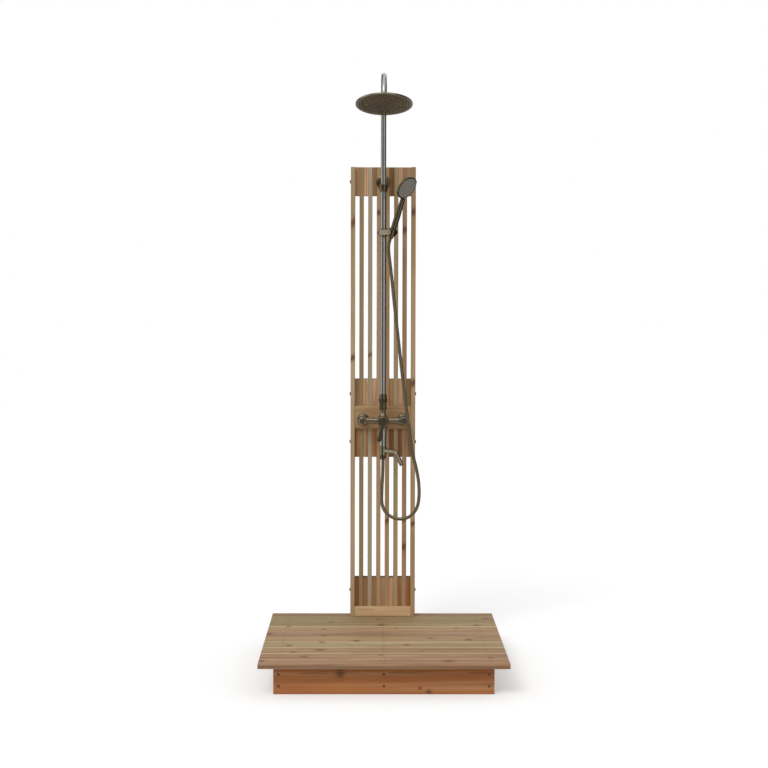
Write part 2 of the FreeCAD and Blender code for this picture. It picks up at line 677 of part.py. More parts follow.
def spout():
    """The swivel spout: its own x axis points out, its own z axis up, from the middle of its collar."""
    start, middle, finish, tip = [FreeCAD.Vector(x, 0, z) for x, z in spout_path()]
    line = Part.Wire([Part.LineSegment(FreeCAD.Vector(), start).toShape(),
                      Part.Arc(start, middle, finish).toShape(),
                      Part.LineSegment(finish, tip).toShape()])
    swept = []
    for radius in (SPOUT_TUBE_RADIUS, SPOUT_TUBE_RADIUS - SPOUT_WALL):
        ring = Part.Wire([Part.makeCircle(radius, FreeCAD.Vector(), RIGHT)])
        swept.append(line.makePipeShell([ring], True, False))
    half = SPOUT_COLLAR_HEIGHT / 2
    r, c = SPOUT_COLLAR_RADIUS, 1.2
    collar = turned([(0, -half), (r - c, -half), (r, c - half), (r, half - c), (r - c, half), (0, half)])
    body = collar.fuse(swept[0]).cut(swept[1])
    return body.cut(rod(FreeCAD.Vector(0, 0, -half - 1), UP, 2 * half + 2, SPINDLE_TUBE_RADIUS + FIT))


def aerator():
    """The insert along Z in the spout's mouth, its lip outside."""
    r = SPOUT_TUBE_RADIUS - SPOUT_WALL
    lip = SPOUT_TUBE_RADIUS + 0.8
    return turned([(5.0, -AERATOR_LENGTH), (r, -AERATOR_LENGTH), (r, 0), (lip, 0), (lip, AERATOR_LIP),
                   (6.5, AERATOR_LIP), (6.5, 0.5), (5.0, 0.5)])


# ---------------------------------------------------------------- riser and arch
riser_base = diverter_top + 16.4
ring_top = post_top - BRACKET_BELOW_TOP - BRACKET_RING_DROP
ring_base = ring_top - BRACKET_RING_HEIGHT
arch_centre_z = ARCH_TOP - ARM_RADIUS - ARCH_RADIUS
riser_top = ring_top - BRACKET_LIP
arm_base = riser_top - ARM_INSERT
arch_turn = math.radians(ARCH_TURN_DEG)
arch_centre = FreeCAD.Vector(0, pipe_y - ARCH_RADIUS, arch_centre_z)
arch_end = arch_centre + FreeCAD.Vector(0, math.cos(arch_turn), math.sin(arch_turn)) * ARCH_RADIUS
arm_heading = FreeCAD.Vector(0, -math.sin(arch_turn), math.cos(arch_turn))
ball_centre = arch_end + arm_heading * BALL_AHEAD
head_place = frame(ball_centre, arm_heading, RIGHT)


def outer_riser():
    base = pipe + UP * riser_base
    length = riser_top - riser_base - LOOSE
    tube = rod(base, UP, length, RISER_RADIUS)
    return tube.cut(rod(base - UP, UP, length + 2, ARM_RADIUS + FIT))


def arch_arm():
    """The sliding inner tube: straight, then over in an arch that ends pointing at the bather."""
    straight = arch_centre_z - arm_base
    start = pipe + UP * arch_centre_z
    parts = []
    for radius in (ARM_RADIUS, ARM_RADIUS - ARM_WALL):
        ring = Part.Face(Part.Wire([Part.makeCircle(radius, start, UP)]))
        bend = ring.revolve(arch_centre, RIGHT, ARCH_TURN_DEG)
        parts.append(bend.fuse(rod(pipe + UP * arm_base, UP, straight, radius)))
    return parts[0].cut(parts[1]).removeSplitter()


def wall_bracket():
    """A flange on the post, an arm, and the ring that grips the riser's top with a cone below it."""
    flange_z = post_top - BRACKET_BELOW_TOP
    r, t = FLANGE_RADIUS, FLANGE_THICKNESS
    flange = turned([(0, 0), (r, 0), (r, t * 0.4), ((r * 0.8, t * 0.85), (r * 0.5, t)), (0, t + 4.0)])
    flange = seat(flange, frame(FreeCAD.Vector(0, inner_front, flange_z), FORWARD, RIGHT))
    root = FreeCAD.Vector(0, inner_front - t * 0.5, flange_z)
    grip = FreeCAD.Vector(0, pipe_y, (ring_top + ring_base) / 2)
    arm = rod(root, grip - root, (grip - root).Length, BRACKET_ARM_RADIUS)
    h, c, w = BRACKET_RING_HEIGHT, BRACKET_CONE_HEIGHT, BRACKET_RING_RADIUS
    ring = turned([(0, -c), (RISER_RADIUS + 1.0, -c), (w, 0), (w, h - 2.0), (w - 2.0, h), (0, h)])
    ring = seat(ring, frame(pipe + UP * ring_base, UP, RIGHT))
    body = flange.multiFuse([arm, ring])
    lower = rod(pipe + UP * (ring_base - c - 1), UP, riser_top - ring_base + c + 1, RISER_RADIUS + 0.02)
    upper = rod(pipe + UP * riser_top, UP, BRACKET_LIP + BRACKET_ARM_RADIUS, ARM_RADIUS + FIT)
    return body.cut([lower, upper])


# ---------------------------------------------------------------- rain head, along Z from its ball's middle
def swivel_ball():
    """The ball, its neck, and the hexagon collar that closes the arm's end."""
    back = BALL_AHEAD + 3.0
    collar_end = BALL_AHEAD + 3.0 - BALL_COLLAR_LENGTH
    collar = nut(BALL_COLLAR_FLATS, BALL_COLLAR_LENGTH)
    collar.translate(FreeCAD.Vector(0, 0, -back))
    socket = rod(FreeCAD.Vector(0, 0, -back - 1), UP, 4.0, ARM_RADIUS)
    stem = rod(FreeCAD.Vector(0, 0, -collar_end - 1), UP, collar_end + 1, BALL_NECK_RADIUS)
    ball = Part.makeSphere(BALL_RADIUS)
    return ball.multiFuse([stem, collar.cut(socket)])


def ball_seat():
    """The round seat between the ball and the head, a belt of a hollow sphere."""
    belt = Part.makeSphere(SEAT_RADIUS - FIT).cut(Part.makeSphere(BALL_RADIUS + FIT))
    return belt.common(rod(FreeCAD.Vector(0, 0, -5.0), UP, 11.0, SEAT_RADIUS + 1))


def swivel_nut():
    """The ring that traps the ball and its seat, fluted for the fingers."""
    r, top, low = SWIVEL_NUT_RADIUS, SWIVEL_NUT_TOP, SWIVEL_NUT_BOTTOM
    body = turned([(0, -top), (r - 2, -top), (r, 2 - top), (r, low), (0, low)])
    body = body.cut(Part.makeSphere(SEAT_RADIUS + FIT))
    mouth = math.sqrt((SEAT_RADIUS + FIT) ** 2 - top ** 2)
    return body.cut(turned([(0, 1 - top), (mouth - 0.2, 1 - top), (mouth + 1.0, -top - 1), (0, -top - 1)]))


def rain_head():
    """A thin round head: a low dome from its neck out to the rim, with a recess for its face."""
    r, rim, face = HEAD_RADIUS, HEAD_RIM, HEAD_FACE
    low = SWIVEL_NUT_BOTTOM + FIT
    neck = HEAD_NECK_RADIUS
    recess = RAIN_PLATE_RADIUS + 0.2
    deep = face - RAIN_PLATE_THICKNESS
    chamber, roof, shoulder = HEAD_CHAMBER_RADIUS, HEAD_CHAMBER_TOP, neck + 17.0
    body = turned([(0, low), (neck, low), ((neck + 5.0, low + 4.6), (shoulder, face - rim - 2.2)),
                   (r - 2.0, face - rim), (r, face - rim + 2.0), (r, face - 1.0), (r - 1.0, face),
                   (recess, face), (recess, deep), (chamber, deep), (chamber, face - rim + HEAD_WALL),
                   (shoulder, face - rim - 2.2 + HEAD_WALL), (neck * 0.8, roof), (0, roof)])
    return body.cut(Part.makeSphere(SEAT_RADIUS + FIT))


def rain_plate():
    """The head's face plate, with three shallow turned rings."""
    r, face, t = RAIN_PLATE_RADIUS, HEAD_FACE, RAIN_PLATE_THICKNESS
    section = [(0, face - t), (r, face - t), (r, face)]
    for ring in (0.8, 0.53, 0.26):
        x = r * ring
        section += [(x + 2.0, face), (x + 1.0, face + 0.8), (x - 1.0, face + 0.8), (x - 2.0, face)]
    section.append((0, face))
    return turned(section)


# ---------------------------------------------------------------- slider and holder
slider_z = post_top - SLIDER_BELOW_TOP
outward = heading(SLIDER_AZIMUTH_DEG)
slider_place = frame(pipe + UP * slider_z, UP, outward)
sideways = UP.cross(outward)
holder_centre = pipe + UP * slider_z + outward * HOLDER_REACH
lean = math.radians(HANDSET_LEAN_DEG)
handset_axis = outward * math.sin(lean) + UP * math.cos(lean)
holder_place = frame(holder_centre, handset_axis, sideways.cross(handset_axis))
bush_radius = RISER_RADIUS + FIT + BUSH_WALL


def slider_bush():
    h, f, r = BUSH_HALF_HEIGHT, BUSH_FLANGE, bush_radius
    bore = RISER_RADIUS + FIT
    return turned([(bore, -h), (BUSH_FLANGE_RADIUS, -h), (BUSH_FLANGE_RADIUS, f - h), (r, f - h),
                   (r, h - f), (BUSH_FLANGE_RADIUS, h - f), (BUSH_FLANGE_RADIUS, h), (bore, h)])


def slider():
    """The clamp body round the bush, with a fork for the holder. Its own x axis points outward."""
    h = SLIDER_HALF_HEIGHT
    inner, outer = CHEEK_INNER, CHEEK_INNER + CHEEK_THICKNESS
    hub = rod(FreeCAD.Vector(0, 0, -h), UP, 2 * h, SLIDER_RADIUS)
    yoke = block((-4.0, -outer, 2.0 - h), (HOLDER_REACH - 18.0, outer, h - 2.0))
    centre = FreeCAD.Vector(HOLDER_REACH, 0, 0)
    sweep = math.hypot(HOLDER_RADIUS, HOLDER_HALF_HEIGHT) + 0.8
    body = hub.fuse(yoke).cut(Part.makeSphere(sweep, centre))
    cheeks = []
    for low in (-outer, inner):
        e = CHEEK_END_RADIUS
        root = HOLDER_REACH - 20.0
        face = outline([(root, 2.0 - h), (HOLDER_REACH, -e), ((HOLDER_REACH + e, 0), (HOLDER_REACH, e)),
                        (root, h - 2.0)])
        cheek = face.extrude(FreeCAD.Vector(0, CHEEK_THICKNESS, 0))
        cheek.translate(FreeCAD.Vector(0, low, 0))
        cheeks.append(cheek)
    body = body.multiFuse(cheeks)
    bore = rod(FreeCAD.Vector(0, 0, -h - 1), UP, 2 * h + 2, bush_radius + FIT)
    pins = rod(centre - BACKWARD * (outer + 1), BACKWARD, 2 * outer + 2, TRUNNION_RADIUS + FIT)
    thread = rod(FreeCAD.Vector(), RIGHT.negative(), SLIDER_RADIUS + 2, KNOB_THREAD_RADIUS + FIT)
    return body.cut([bore, pins, thread]).removeSplitter()


def slider_knob():
    """The clamp screw along Z, from the bush outward, with a fluted head."""
    start = bush_radius + LOOSE
    base = SLIDER_RADIUS + LOOSE
    r, end = KNOB_RADIUS, SLIDER_RADIUS + LOOSE + KNOB_LENGTH
    stem = rod(FreeCAD.Vector(0, 0, start), UP, base - start + 1, KNOB_THREAD_RADIUS)
    head = turned([(0, base), (r - 1, base), (r, base + 1), (r, end - 2.0), (r - 2.0, end), (0, end)])
    for k in range(KNOB_FLUTES):
        turn = 2 * math.pi * k / KNOB_FLUTES
        middle = FreeCAD.Vector((r + 0.8) * math.cos(turn), (r + 0.8) * math.sin(turn), base - 1)
        head = head.cut(rod(middle, UP, KNOB_LENGTH + 2, 1.8))
    return head.fuse(stem)


def cone_radius(height):
    """The radius of the hose's cone nut at a height above the holder's middle."""
    return CONE_MID_RADIUS + CONE_TAPER * height


def handset_holder():
    """A tapered cup along Z with a slot for the hose and a trunnion each side."""
    h, r = HOLDER_HALF_HEIGHT, HOLDER_RADIUS
    cup = turned([(cone_radius(-h) + FIT, -h), (r - 1.5, -h), (r, 1.5 - h), (r, h - 1.5), (r - 1.5, h),
                  (cone_radius(h) + FIT, h)])
    slot = block((0, -HOLDER_SLOT / 2, -h - 1), (r + 2, HOLDER_SLOT / 2, h + 1))
    cup = cup.cut(slot)
    tip = CHEEK_INNER + CHEEK_THICKNESS - 0.3
    wall = cone_radius(0) + 2.0
    pins = [rod(FreeCAD.Vector(0, wall, 0), BACKWARD, tip - wall, TRUNNION_RADIUS),
            rod(FreeCAD.Vector(0, -wall, 0), FORWARD, tip - wall, TRUNNION_RADIUS)]
    return cup.multiFuse(pins).removeSplitter()


# ---------------------------------------------------------------- handset
def hose_cone():
    """The hose's tapered nut along Z, with a socket for the handset's tail."""
    low, high = -CONE_BELOW, CONE_ABOVE
    socket = TAIL_STUD_RADIUS + FIT
    return turned([(HOSE_BORE, low), (cone_radius(low) - 1.5, low), (cone_radius(low), low + 1.5),
                   (cone_radius(high), high), (socket, high), (socket, high - TAIL_STUD_LENGTH - 1),
                   (HOSE_BORE, high - TAIL_STUD_LENGTH - 1)])


def handset_face():
    """The frame of the spray face: its own z axis is the way the water leaves."""
    dip = math.radians(HANDSET_FACE_DEG)
    spray = outward * math.cos(dip) - UP * math.sin(dip)
    return frame(holder_centre + handset_axis * HANDSET_REACH, spray, sideways)


def handset():
    """The grip, its tail, and the round head that stands at an angle on it."""
    start = CONE_ABOVE + LOOSE
    g, w = GRIP_RADIUS, GRIP_WAIST_RADIUS
    reach = HANDSET_REACH - HANDSET_HEAD_RADIUS * 0.55
    bottom = start - TAIL_STUD_LENGTH
    neck = reach * 0.72
    grip = turned([(0, bottom), (TAIL_STUD_RADIUS, bottom), (TAIL_STUD_RADIUS, start), (g - 1.5, start),
                   (g, start + 2.0), ((g + 0.7, (start + neck) / 2), (w, neck)), (w, reach), (0, reach)])
    grip = seat(grip, holder_place)
    r, back, front = HANDSET_HEAD_RADIUS, HANDSET_HEAD_BACK, HANDSET_HEAD_FRONT
    plate = SPRAY_PLATE_RADIUS + 0.15
    deep = front - SPRAY_PLATE_THICKNESS
    crown, top = dome(r, 3.0, back)
    head = turned([(0, -top[1]), ((crown[0], -crown[1]), (r, -3.0)), (r, front - 2.0), (r - 2.0, front),
                   (plate, front), (plate, deep), (0, deep)])
    head = seat(head, handset_face())
    clearance = seat(rod(FreeCAD.Vector(0, 0, deep), UP, 40.0, r), handset_face())
    c, wall = HANDSET_CHAMBER_RADIUS, HANDSET_WALL
    chamber = turned([(0, wall - back), (c * 0.5, wall + 2.0 - back), (c, -2.0), (c, deep), (0, deep)])
    bore = seat(rod(FreeCAD.Vector(0, 0, bottom - 1), UP, HANDSET_REACH - bottom - 10.0, HANDSET_BORE), holder_place)
    return grip.cut(clearance).fuse(head).cut([seat(chamber, handset_face()), bore])


def spray_plate():
    r, front, t = SPRAY_PLATE_RADIUS, HANDSET_HEAD_FRONT, SPRAY_PLATE_THICKNESS
    return turned([(0, front - t), (r, front - t), (r, front), (r * 0.72, front), (r * 0.70, front + 0.8),
                   (r * 0.66, front + 0.8), (r * 0.64, front), (r * 0.3, front), (0, front + 0.8)])


# ---------------------------------------------------------------- hose
def hose_points():
    """The route from the outlet's nut round to the handset's cone nut."""
    outlet = pipe + UP * hose_outlet
    cone = holder_centre - handset_axis * CONE_BELOW
    route = [FreeCAD.Vector(*p) for p in HOSE_ROUTE]
    return [outlet, outlet - UP * HOSE_EXIT_RUN] + route + [cone - handset_axis * HOSE_ENTRY_RUN, cone]


def rounded_line(points):
    """Straight runs joined by tangent arcs as large as their runs allow, and the least of their radii."""
    edges, radii = [], []
    here = points[0]
    for before, corner, after in zip(points, points[1:], points[2:]):
        back, on = before - corner, after - corner
        shorter = min(back.Length, on.Length)
        half = (math.pi - back.getAngle(on)) / 2
        reach = 0.45 * shorter
        radius = reach / math.tan(half)
        radii.append(radius)
        start = corner + back * (reach / back.Length)
        finish = corner + on * (reach / on.Length)
        middle_way = (start + finish) * 0.5 - corner
        inward = radius / math.cos(half) - radius
        middle = corner + middle_way * (inward / middle_way.Length)
        edges.append(Part.LineSegment(here, start).toShape())
        edges.append(Part.Arc(start, middle, finish).toShape())
        here = finish
    edges.append(Part.LineSegment(here, points[-1]).toShape())
    return Part.Wire(edges), radii


def hose():
    points = hose_points()
    line, radii = rounded_line(points)
    ring = Part.Wire([Part.makeCircle(HOSE_DIAMETER / 2, points[0], points[1] - points[0])])
    tube = line.makePipeShell([ring], True, False)
    section = math.pi * HOSE_DIAMETER ** 2 / 4
    print(f"hose: length {line.Length:.0f}, volume over section times length {tube.Volume / section / line.Length:.4f}")
    print("hose radii in diameters:", " ".join(f"{r / HOSE_DIAMETER:.1f}" for r in radii))
    return tube


# ---------------------------------------------------------------- build
def build_wood():
    strip_holes = [rod(p - UP, UP, DECK_BOARD_THICKNESS + FOOT_SCREW_REACH + 1, FOOT_SCREW_SHANK + 0.05)
                   for p in foot_screw_places()]
    for number, board in enumerate(deck_boards(), 1):
        save(f"deck_board_{number:02d}", drilled(board, strip_holes))
    front_apron, rear_apron, joists = aprons_and_joists()
    save("front_apron", front_apron)
    save("rear_apron", rear_apron)
    save("deck_joists", Part.makeCompound(joists))
    feet = [seat(foot_screw(), FreeCAD.Placement(p, FreeCAD.Rotation())) for p in foot_screw_places()]
    save("foot_screws", Part.makeCompound(feet))
    holes = bolt_holes() + tail_holes()
    for number in range(SLATS):
        save(f"slat_{number + 1}", slat(number, holes))
    save("top_spacers", spacers(top_base, TOP_SPACER_HEIGHT, holes))
    save("middle_spacers", spacers(middle_base, MIDDLE_SPACER_HEIGHT, holes))
    save("bottom_spacers", spacers(deck_top, BOTTOM_SPACER_HEIGHT, holes + strip_holes))
    board = front_board(mixer_z - MIXER_BOARD_DROP, MIXER_BOARD_HEIGHT, MIXER_BOARD_BEVEL)
    save("mixer_board", drilled(board, tail_holes()))
    save("toe_board", front_board(deck_top, TOE_BOARD_HEIGHT, WOOD_EASE))
    save("through_bolts", Part.makeCompound(through_bolts()))
    save("bolt_nuts", bolt_nuts())


def build_mixer():
    save("inlet_tails", at_inlets(inlet_tail(), tail_front, BACKWARD))
    save("union_nuts", at_inlets(union_nut(), union_start, BACKWARD))
    save("escutcheons", at_inlets(escutcheon(), outer_front, FORWARD))
    save("tail_backnuts", at_inlets(back_nut(), deck_back, BACKWARD))
    save("mixer_body", mixer_body())
    housing_front = mixer + FORWARD * HOUSING_FRONT
    ahead = frame(housing_front, FORWARD, RIGHT)
    save("cartridge", seat(cartridge(), frame(housing_front + BACKWARD * CARTRIDGE_LENGTH, FORWARD, RIGHT)))
    save("cartridge_nut", seat(cartridge_nut(), ahead))
    save("spindle", seat(spindle(), frame(pivot, FORWARD, RIGHT)))
    turn = math.radians(LEVER_LEAN_DEG)
    down = FreeCAD.Vector(-math.sin(turn), 0, -math.cos(turn))
    save("lever", seat(lever(), frame(pivot, FORWARD, down)))
    save("diverter_knob", seat(diverter_knob(), frame(pipe + UP * diverter_base, UP, RIGHT)))
    save("riser_nut", seat(riser_nut(), frame(pipe + UP * (diverter_top + LOOSE), UP, RIGHT)))
    save("lower_column", seat(lower_column(), frame(pipe + UP * column_top, UP.negative(), RIGHT)))
    spout_middle = pipe + UP * (collar_base + SPOUT_COLLAR_HEIGHT / 2)
    out = heading(SPOUT_AZIMUTH_DEG)
    save("spout", seat(spout(), frame(spout_middle, UP, out)))
    fall = math.radians(SPOUT_FALL_DEG)
    mouth = spout_middle + out * SPOUT_REACH - UP * SPOUT_DROP
    falling = out * math.cos(fall) - UP * math.sin(fall)
    save("aerator", seat(aerator(), frame(mouth, falling, UP.cross(out))))
    save("hose_nut", seat(hose_nut(), frame(pipe + UP * hose_nut_top, UP.negative(), RIGHT)))


def build_riser():
    save("outer_riser", outer_riser())
    save("arch_arm", arch_arm())
    save("wall_bracket", wall_bracket())
    for name, shape in (("swivel_ball", swivel_ball()), ("ball_seat", ball_seat()),
                        ("swivel_nut", swivel_nut()), ("rain_head", rain_head()),
                        ("rain_plate", rain_plate())):
        save(name, seat(shape, head_place))


def build_handset():
    save("slider_bush", seat(slider_bush(), slider_place))
    save("slider", seat(slider(), slider_place))
    knob_place = frame(pipe + UP * slider_z, outward.negative(), UP)
    save("slider_knob", seat(slider_knob(), knob_place))
    save("handset_holder", seat(handset_holder(), holder_place))
    save("hose_cone", seat(hose_cone(), holder_place))
    save("handset", handset())
    save("spray_plate", seat(spray_plate(), handset_face()))
    save("hose", hose())


build_wood()
build_mixer()
build_riser()
build_handset()
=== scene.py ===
# %% [markdown]
# # A timber outdoor shower
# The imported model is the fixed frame: every board, pipe and joint is already in its place.
# This lesson gives those pieces their finishes, adds the small things that the solids leave out,
# such as screws, nozzles and the hose's wound steel, and sets the camera, the floor and the light.

# %% Load the frame
import math
import random

import bpy
import bmesh
from mathutils import Matrix, Vector


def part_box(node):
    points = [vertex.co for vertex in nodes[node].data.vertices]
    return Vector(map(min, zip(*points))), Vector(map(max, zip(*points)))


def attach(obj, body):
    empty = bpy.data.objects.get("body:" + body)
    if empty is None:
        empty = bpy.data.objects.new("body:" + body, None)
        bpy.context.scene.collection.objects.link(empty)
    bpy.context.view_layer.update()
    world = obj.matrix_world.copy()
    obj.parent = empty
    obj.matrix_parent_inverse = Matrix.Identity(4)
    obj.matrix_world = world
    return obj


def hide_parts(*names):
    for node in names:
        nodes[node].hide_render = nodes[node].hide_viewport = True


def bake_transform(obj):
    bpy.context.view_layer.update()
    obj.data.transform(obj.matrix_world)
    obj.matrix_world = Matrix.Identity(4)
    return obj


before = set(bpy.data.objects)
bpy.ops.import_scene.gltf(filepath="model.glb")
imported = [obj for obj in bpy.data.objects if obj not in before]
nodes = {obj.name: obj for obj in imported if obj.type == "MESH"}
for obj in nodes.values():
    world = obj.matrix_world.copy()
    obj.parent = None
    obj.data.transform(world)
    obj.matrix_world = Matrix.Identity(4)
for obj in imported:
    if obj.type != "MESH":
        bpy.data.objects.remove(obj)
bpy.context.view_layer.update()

# %% [markdown]
# Lengths on such an object are easier to read in millimetres, and Blender works in metres here.
# Colours are easier to judge as they look on a screen, and shaders want them linear.
# One factor and one small function keep both habits apart from the rest of the script.

# %% Units
MM = 0.001


def seen(red, green, blue):
    """A colour as a screen shows it, 0 to 255, as the linear colour that a shader takes."""
    return tuple(((v / 255 + 0.055) / 1.055) ** 2.4 if v > 10 else v / 255 / 12.92
                 for v in (red, green, blue)) + (1.0,)


print("mid grey in a shader:", round(seen(128, 128, 128)[0], 3))

# %% [markdown]
# Blender shows only what is linked to a collection, so each new object takes the same last step.
# The pieces that this lesson adds are built point by point, mostly as rings that are then joined by
# four-cornered faces. Three helpers hold what they share.

# %% Into the scene
def into_scene(name, data):
    """A new object in the scene that holds this data."""
    item = bpy.data.objects.new(name, data)
    bpy.context.scene.collection.objects.link(item)
    return item


def as_piece(name, mesh):
    """The bmesh, now complete, as a new object in the scene."""
    data = bpy.data.meshes.new(name)
    mesh.to_mesh(data)
    mesh.free()
    return into_scene(name, data)


def walls(mesh, rings):
    """The faces between each ring of points and the next."""
    faces = []
    for low, high in zip(rings, rings[1:]):
        for j in range(len(low)):
            n = (j + 1) % len(low)
            faces.append(mesh.faces.new((low[j], low[n], high[n], high[j])))
    return faces


# %% [markdown]
# ## The camera
# The photograph was taken from about six metres away, at the height of a person's eyes, a little to
# the left of the post. The deck's four corners and the post's top settle the place and the lens.
# A level camera with a large shift would fit as well, but a small shift and a slight tilt down keep
# the other views centred.

# %% The camera
LENS = 75.0
CAMERA_PLACE = Vector((-0.0484, -6.1893, 1.4828))
CAMERA_TILT = math.radians(-2.078)
CAMERA_TURN = math.radians(-0.455)
CAMERA_ROLL = math.radians(0.126)
CAMERA_SHIFT_Y = -0.05

camera_data = bpy.data.cameras.new("camera")
camera_data.lens = LENS
camera_data.sensor_width = 36.0
camera_data.shift_y = CAMERA_SHIFT_Y
camera = into_scene("camera", camera_data)
camera.matrix_world = (Matrix.Translation(CAMERA_PLACE)
                       @ Matrix.Rotation(CAMERA_TURN, 4, "Z")
                       @ Matrix.Rotation(math.radians(90) + CAMERA_TILT, 4, "X")
                       @ Matrix.Rotation(CAMERA_ROLL, 4, "Z"))
bpy.context.scene.camera = camera
print("camera is", round((CAMERA_PLACE - Vector((0, 0, 1))).length, 2), "m away")

# %% [markdown]
# ## The hose's line
# The hose is about a metre and a half of flexible steel tube. It leaves the nut under the mixer
# straight down, swings round in a U that hangs lower than the spout, and rises beside the riser
# to the cone that the handset stands on. The same points shape the tube in the solid model; here a
# NURBS curve takes them, because a hanging hose has no straight runs and no circular arcs.

# %% Route of the hose
HOSE_DIAMETER = 14 * MM
HOSE_ROUTE_MM = (
    (0.0, 324.0, 780.4), (0.0, 324.0, 740.4),
    (-4.0, 323.0, 665.0), (-6.0, 317.0, 584.0), (37.0, 309.0, 541.0), (98.0, 299.0, 539.0),
    (141.0, 290.0, 581.0), (149.0, 284.0, 652.0), (141.0, 280.0, 728.0), (118.0, 279.0, 815.0),
    (99.0, 281.0, 950.0), (79.0, 287.0, 1115.0), (60.0, 294.0, 1280.0), (42.0, 303.0, 1440.0),
    (31.5, 308.5, 1545.0), (24.5, 308.0, 1598.0), (20.2, 305.9, 1637.9),
    (21.7, 304.4, 1661.8), (28.1, 298.7, 1682.1),
)

route = bpy.data.curves.new("hose_route", "CURVE")
route.dimensions = "3D"
route.resolution_u = 24
spline = route.splines.new("NURBS")
spline.points.add(len(HOSE_ROUTE_MM) - 1)
for point, place in zip(spline.points, HOSE_ROUTE_MM):
    point.co = (*(Vector(place) * MM), 1.0)
spline.order_u = 3
spline.use_endpoint_u = True
route_object = into_scene("hose_route", route)
line_mesh = bpy.data.meshes.new_from_object(route_object)
hose_line = [v.co.copy() for v in line_mesh.vertices]
bpy.data.objects.remove(route_object)
print("points on the hose's line:", len(hose_line))

# %% [markdown]
# The tube needs evenly spaced stations to carry its ridges, so the line is walked once and cut into
# equal steps. Each station also gets a frame that doesn't twist: the last sideways direction, turned
# just enough to stay square to the line.

# %% Walk along a line
def evenly(points, step):
    """The line's points again, a fixed step apart."""
    placed, carried = [points[0].copy()], 0.0
    for a, b in zip(points, points[1:]):
        length = (b - a).length
        while carried + step <= length:
            carried += step
            placed.append(a.lerp(b, carried / length))
        carried -= length
    return placed


def untwisted(points):
    """A direction along the line and one square to it, at each point."""
    side = Vector((1, 0, 0))
    frames = []
    for k, here in enumerate(points):
        ahead = (points[min(k + 1, len(points) - 1)] - points[max(k - 1, 0)]).normalized()
        side = (side - ahead * side.dot(ahead)).normalized()
        frames.append((ahead, side.copy()))
    return frames


RIDGE_PITCH = 4.4 * MM
STEP = RIDGE_PITCH / 4
hose_stations = evenly(hose_line, STEP)
hose_frames = untwisted(hose_stations)
hose_length = STEP * (len(hose_stations) - 1)
print("the hose is", round(hose_length, 3), "m long")

# %% [markdown]
# ## The hose's wound steel
# A shower hose is a strip of steel wound into a tube, each turn hooked into the next, so it shows a
# fine screw of rounded ridges. A bump map would vanish at the silhouette, so the ridges are modelled:
# the radius swells once per pitch, and the swelling runs round the tube as a screw. The hose is cut
# into four pieces at the heights where it passes from one moving part to the next. The pieces share
# the same stations, so they meet without a step at rest.

# %% Hose pieces
HOSE_SIDES = 16
RIDGE_HEIGHT = 0.55 * MM


def hose_piece(name, first, last):
    """The stretch of hose between two stations, with closed ends."""
    mesh = bmesh.new()
    rings = []
    for k in range(first, last + 1):
        ahead, side = hose_frames[k]
        across = ahead.cross(side)
        ring = []
        for j in range(HOSE_SIDES):
            turn = 2 * math.pi * j / HOSE_SIDES
            swell = math.sin(2 * math.pi * k * STEP / RIDGE_PITCH - turn)
            radius = HOSE_DIAMETER / 2 - RIDGE_HEIGHT * (0.5 - 0.5 * swell)
            outward = side * math.cos(turn) + across * math.sin(turn)
            ring.append(mesh.verts.new(hose_stations[k] + outward * radius))
        rings.append(ring)
    for face in walls(mesh, rings):
        face.smooth = True
    mesh.faces.new(list(reversed(rings[0])))
    mesh.faces.new(rings[-1])
    return as_piece(name, mesh)


def station_at(height):
    """The last station that is no higher than this, in millimetres; it lies on the rising leg."""
    return max(k for k, p in enumerate(hose_stations) if p.z <= height * MM)


RISE_TOP, NECK_TOP, BEND_TOP = 1545.0, 1640.0, 1660.0
cuts = [0, station_at(RISE_TOP), station_at(NECK_TOP), station_at(BEND_TOP), len(hose_stations) - 1]
hose_names = ("hose_loop", "hose_neck", "hose_bend", "hose_end")
hose_pieces = [hose_piece(n, a, b) for n, a, b in zip(hose_names, cuts, cuts[1:])]
print("hose pieces:", [f"{n} {STEP * (b - a):.3f} m" for n, a, b in zip(hose_names, cuts, cuts[1:])])

# %% [markdown]
# The four pieces keep the places where they were built, and the solid model's own hose is hidden.
# The slider comes down by half a metre. Spread over the whole rising leg, that only squeezes the
# hose, and over a much shorter stretch the hose would fold over itself.

# %% The hose takes the solid hose's place
loop, neck, bend, end = hose_pieces
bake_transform(loop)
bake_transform(neck)
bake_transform(bend)
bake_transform(end)
for piece in hose_pieces:
    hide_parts("hose")
print("the hose rides on", len(hose_pieces) + 1, "bodies in turn")

# %% [markdown]
# ## A drawing board for shaders
# A wood or a brushed metal takes a few dozen nodes, and most lines would only join them up. These
# helpers add a node or a few and give back an output, so that a finish reads like a sum.

# %% Helpers for shader nodes
def feed(tree, node, feeds):
    """Give each of a node's sockets a value or another node's output."""
    for socket, value in feeds.items():
        if isinstance(value, bpy.types.NodeSocket):
            tree.links.new(value, node.inputs[socket])
        else:
            node.inputs[socket].default_value = value


def add(tree, kind, feeds, give=0, **settings):
    """The output of one more node."""
    node = tree.nodes.new("ShaderNode" + kind)
    for name, value in settings.items():
        setattr(node, name, value)
    feed(tree, node, feeds)
    return node.outputs[give]


def figure(tree, operation, a, b=0.0):
    """One step of arithmetic on one or two numbers."""
    return add(tree, "Math", {0: a, 1: b}, operation=operation)


def plus(tree, a, b):
    """a + b"""
    return figure(tree, "ADD", a, b)


def minus(tree, a, b):
    """a - b"""
    return figure(tree, "SUBTRACT", a, b)


def times(tree, a, b):
    """a * b"""
    return figure(tree, "MULTIPLY", a, b)


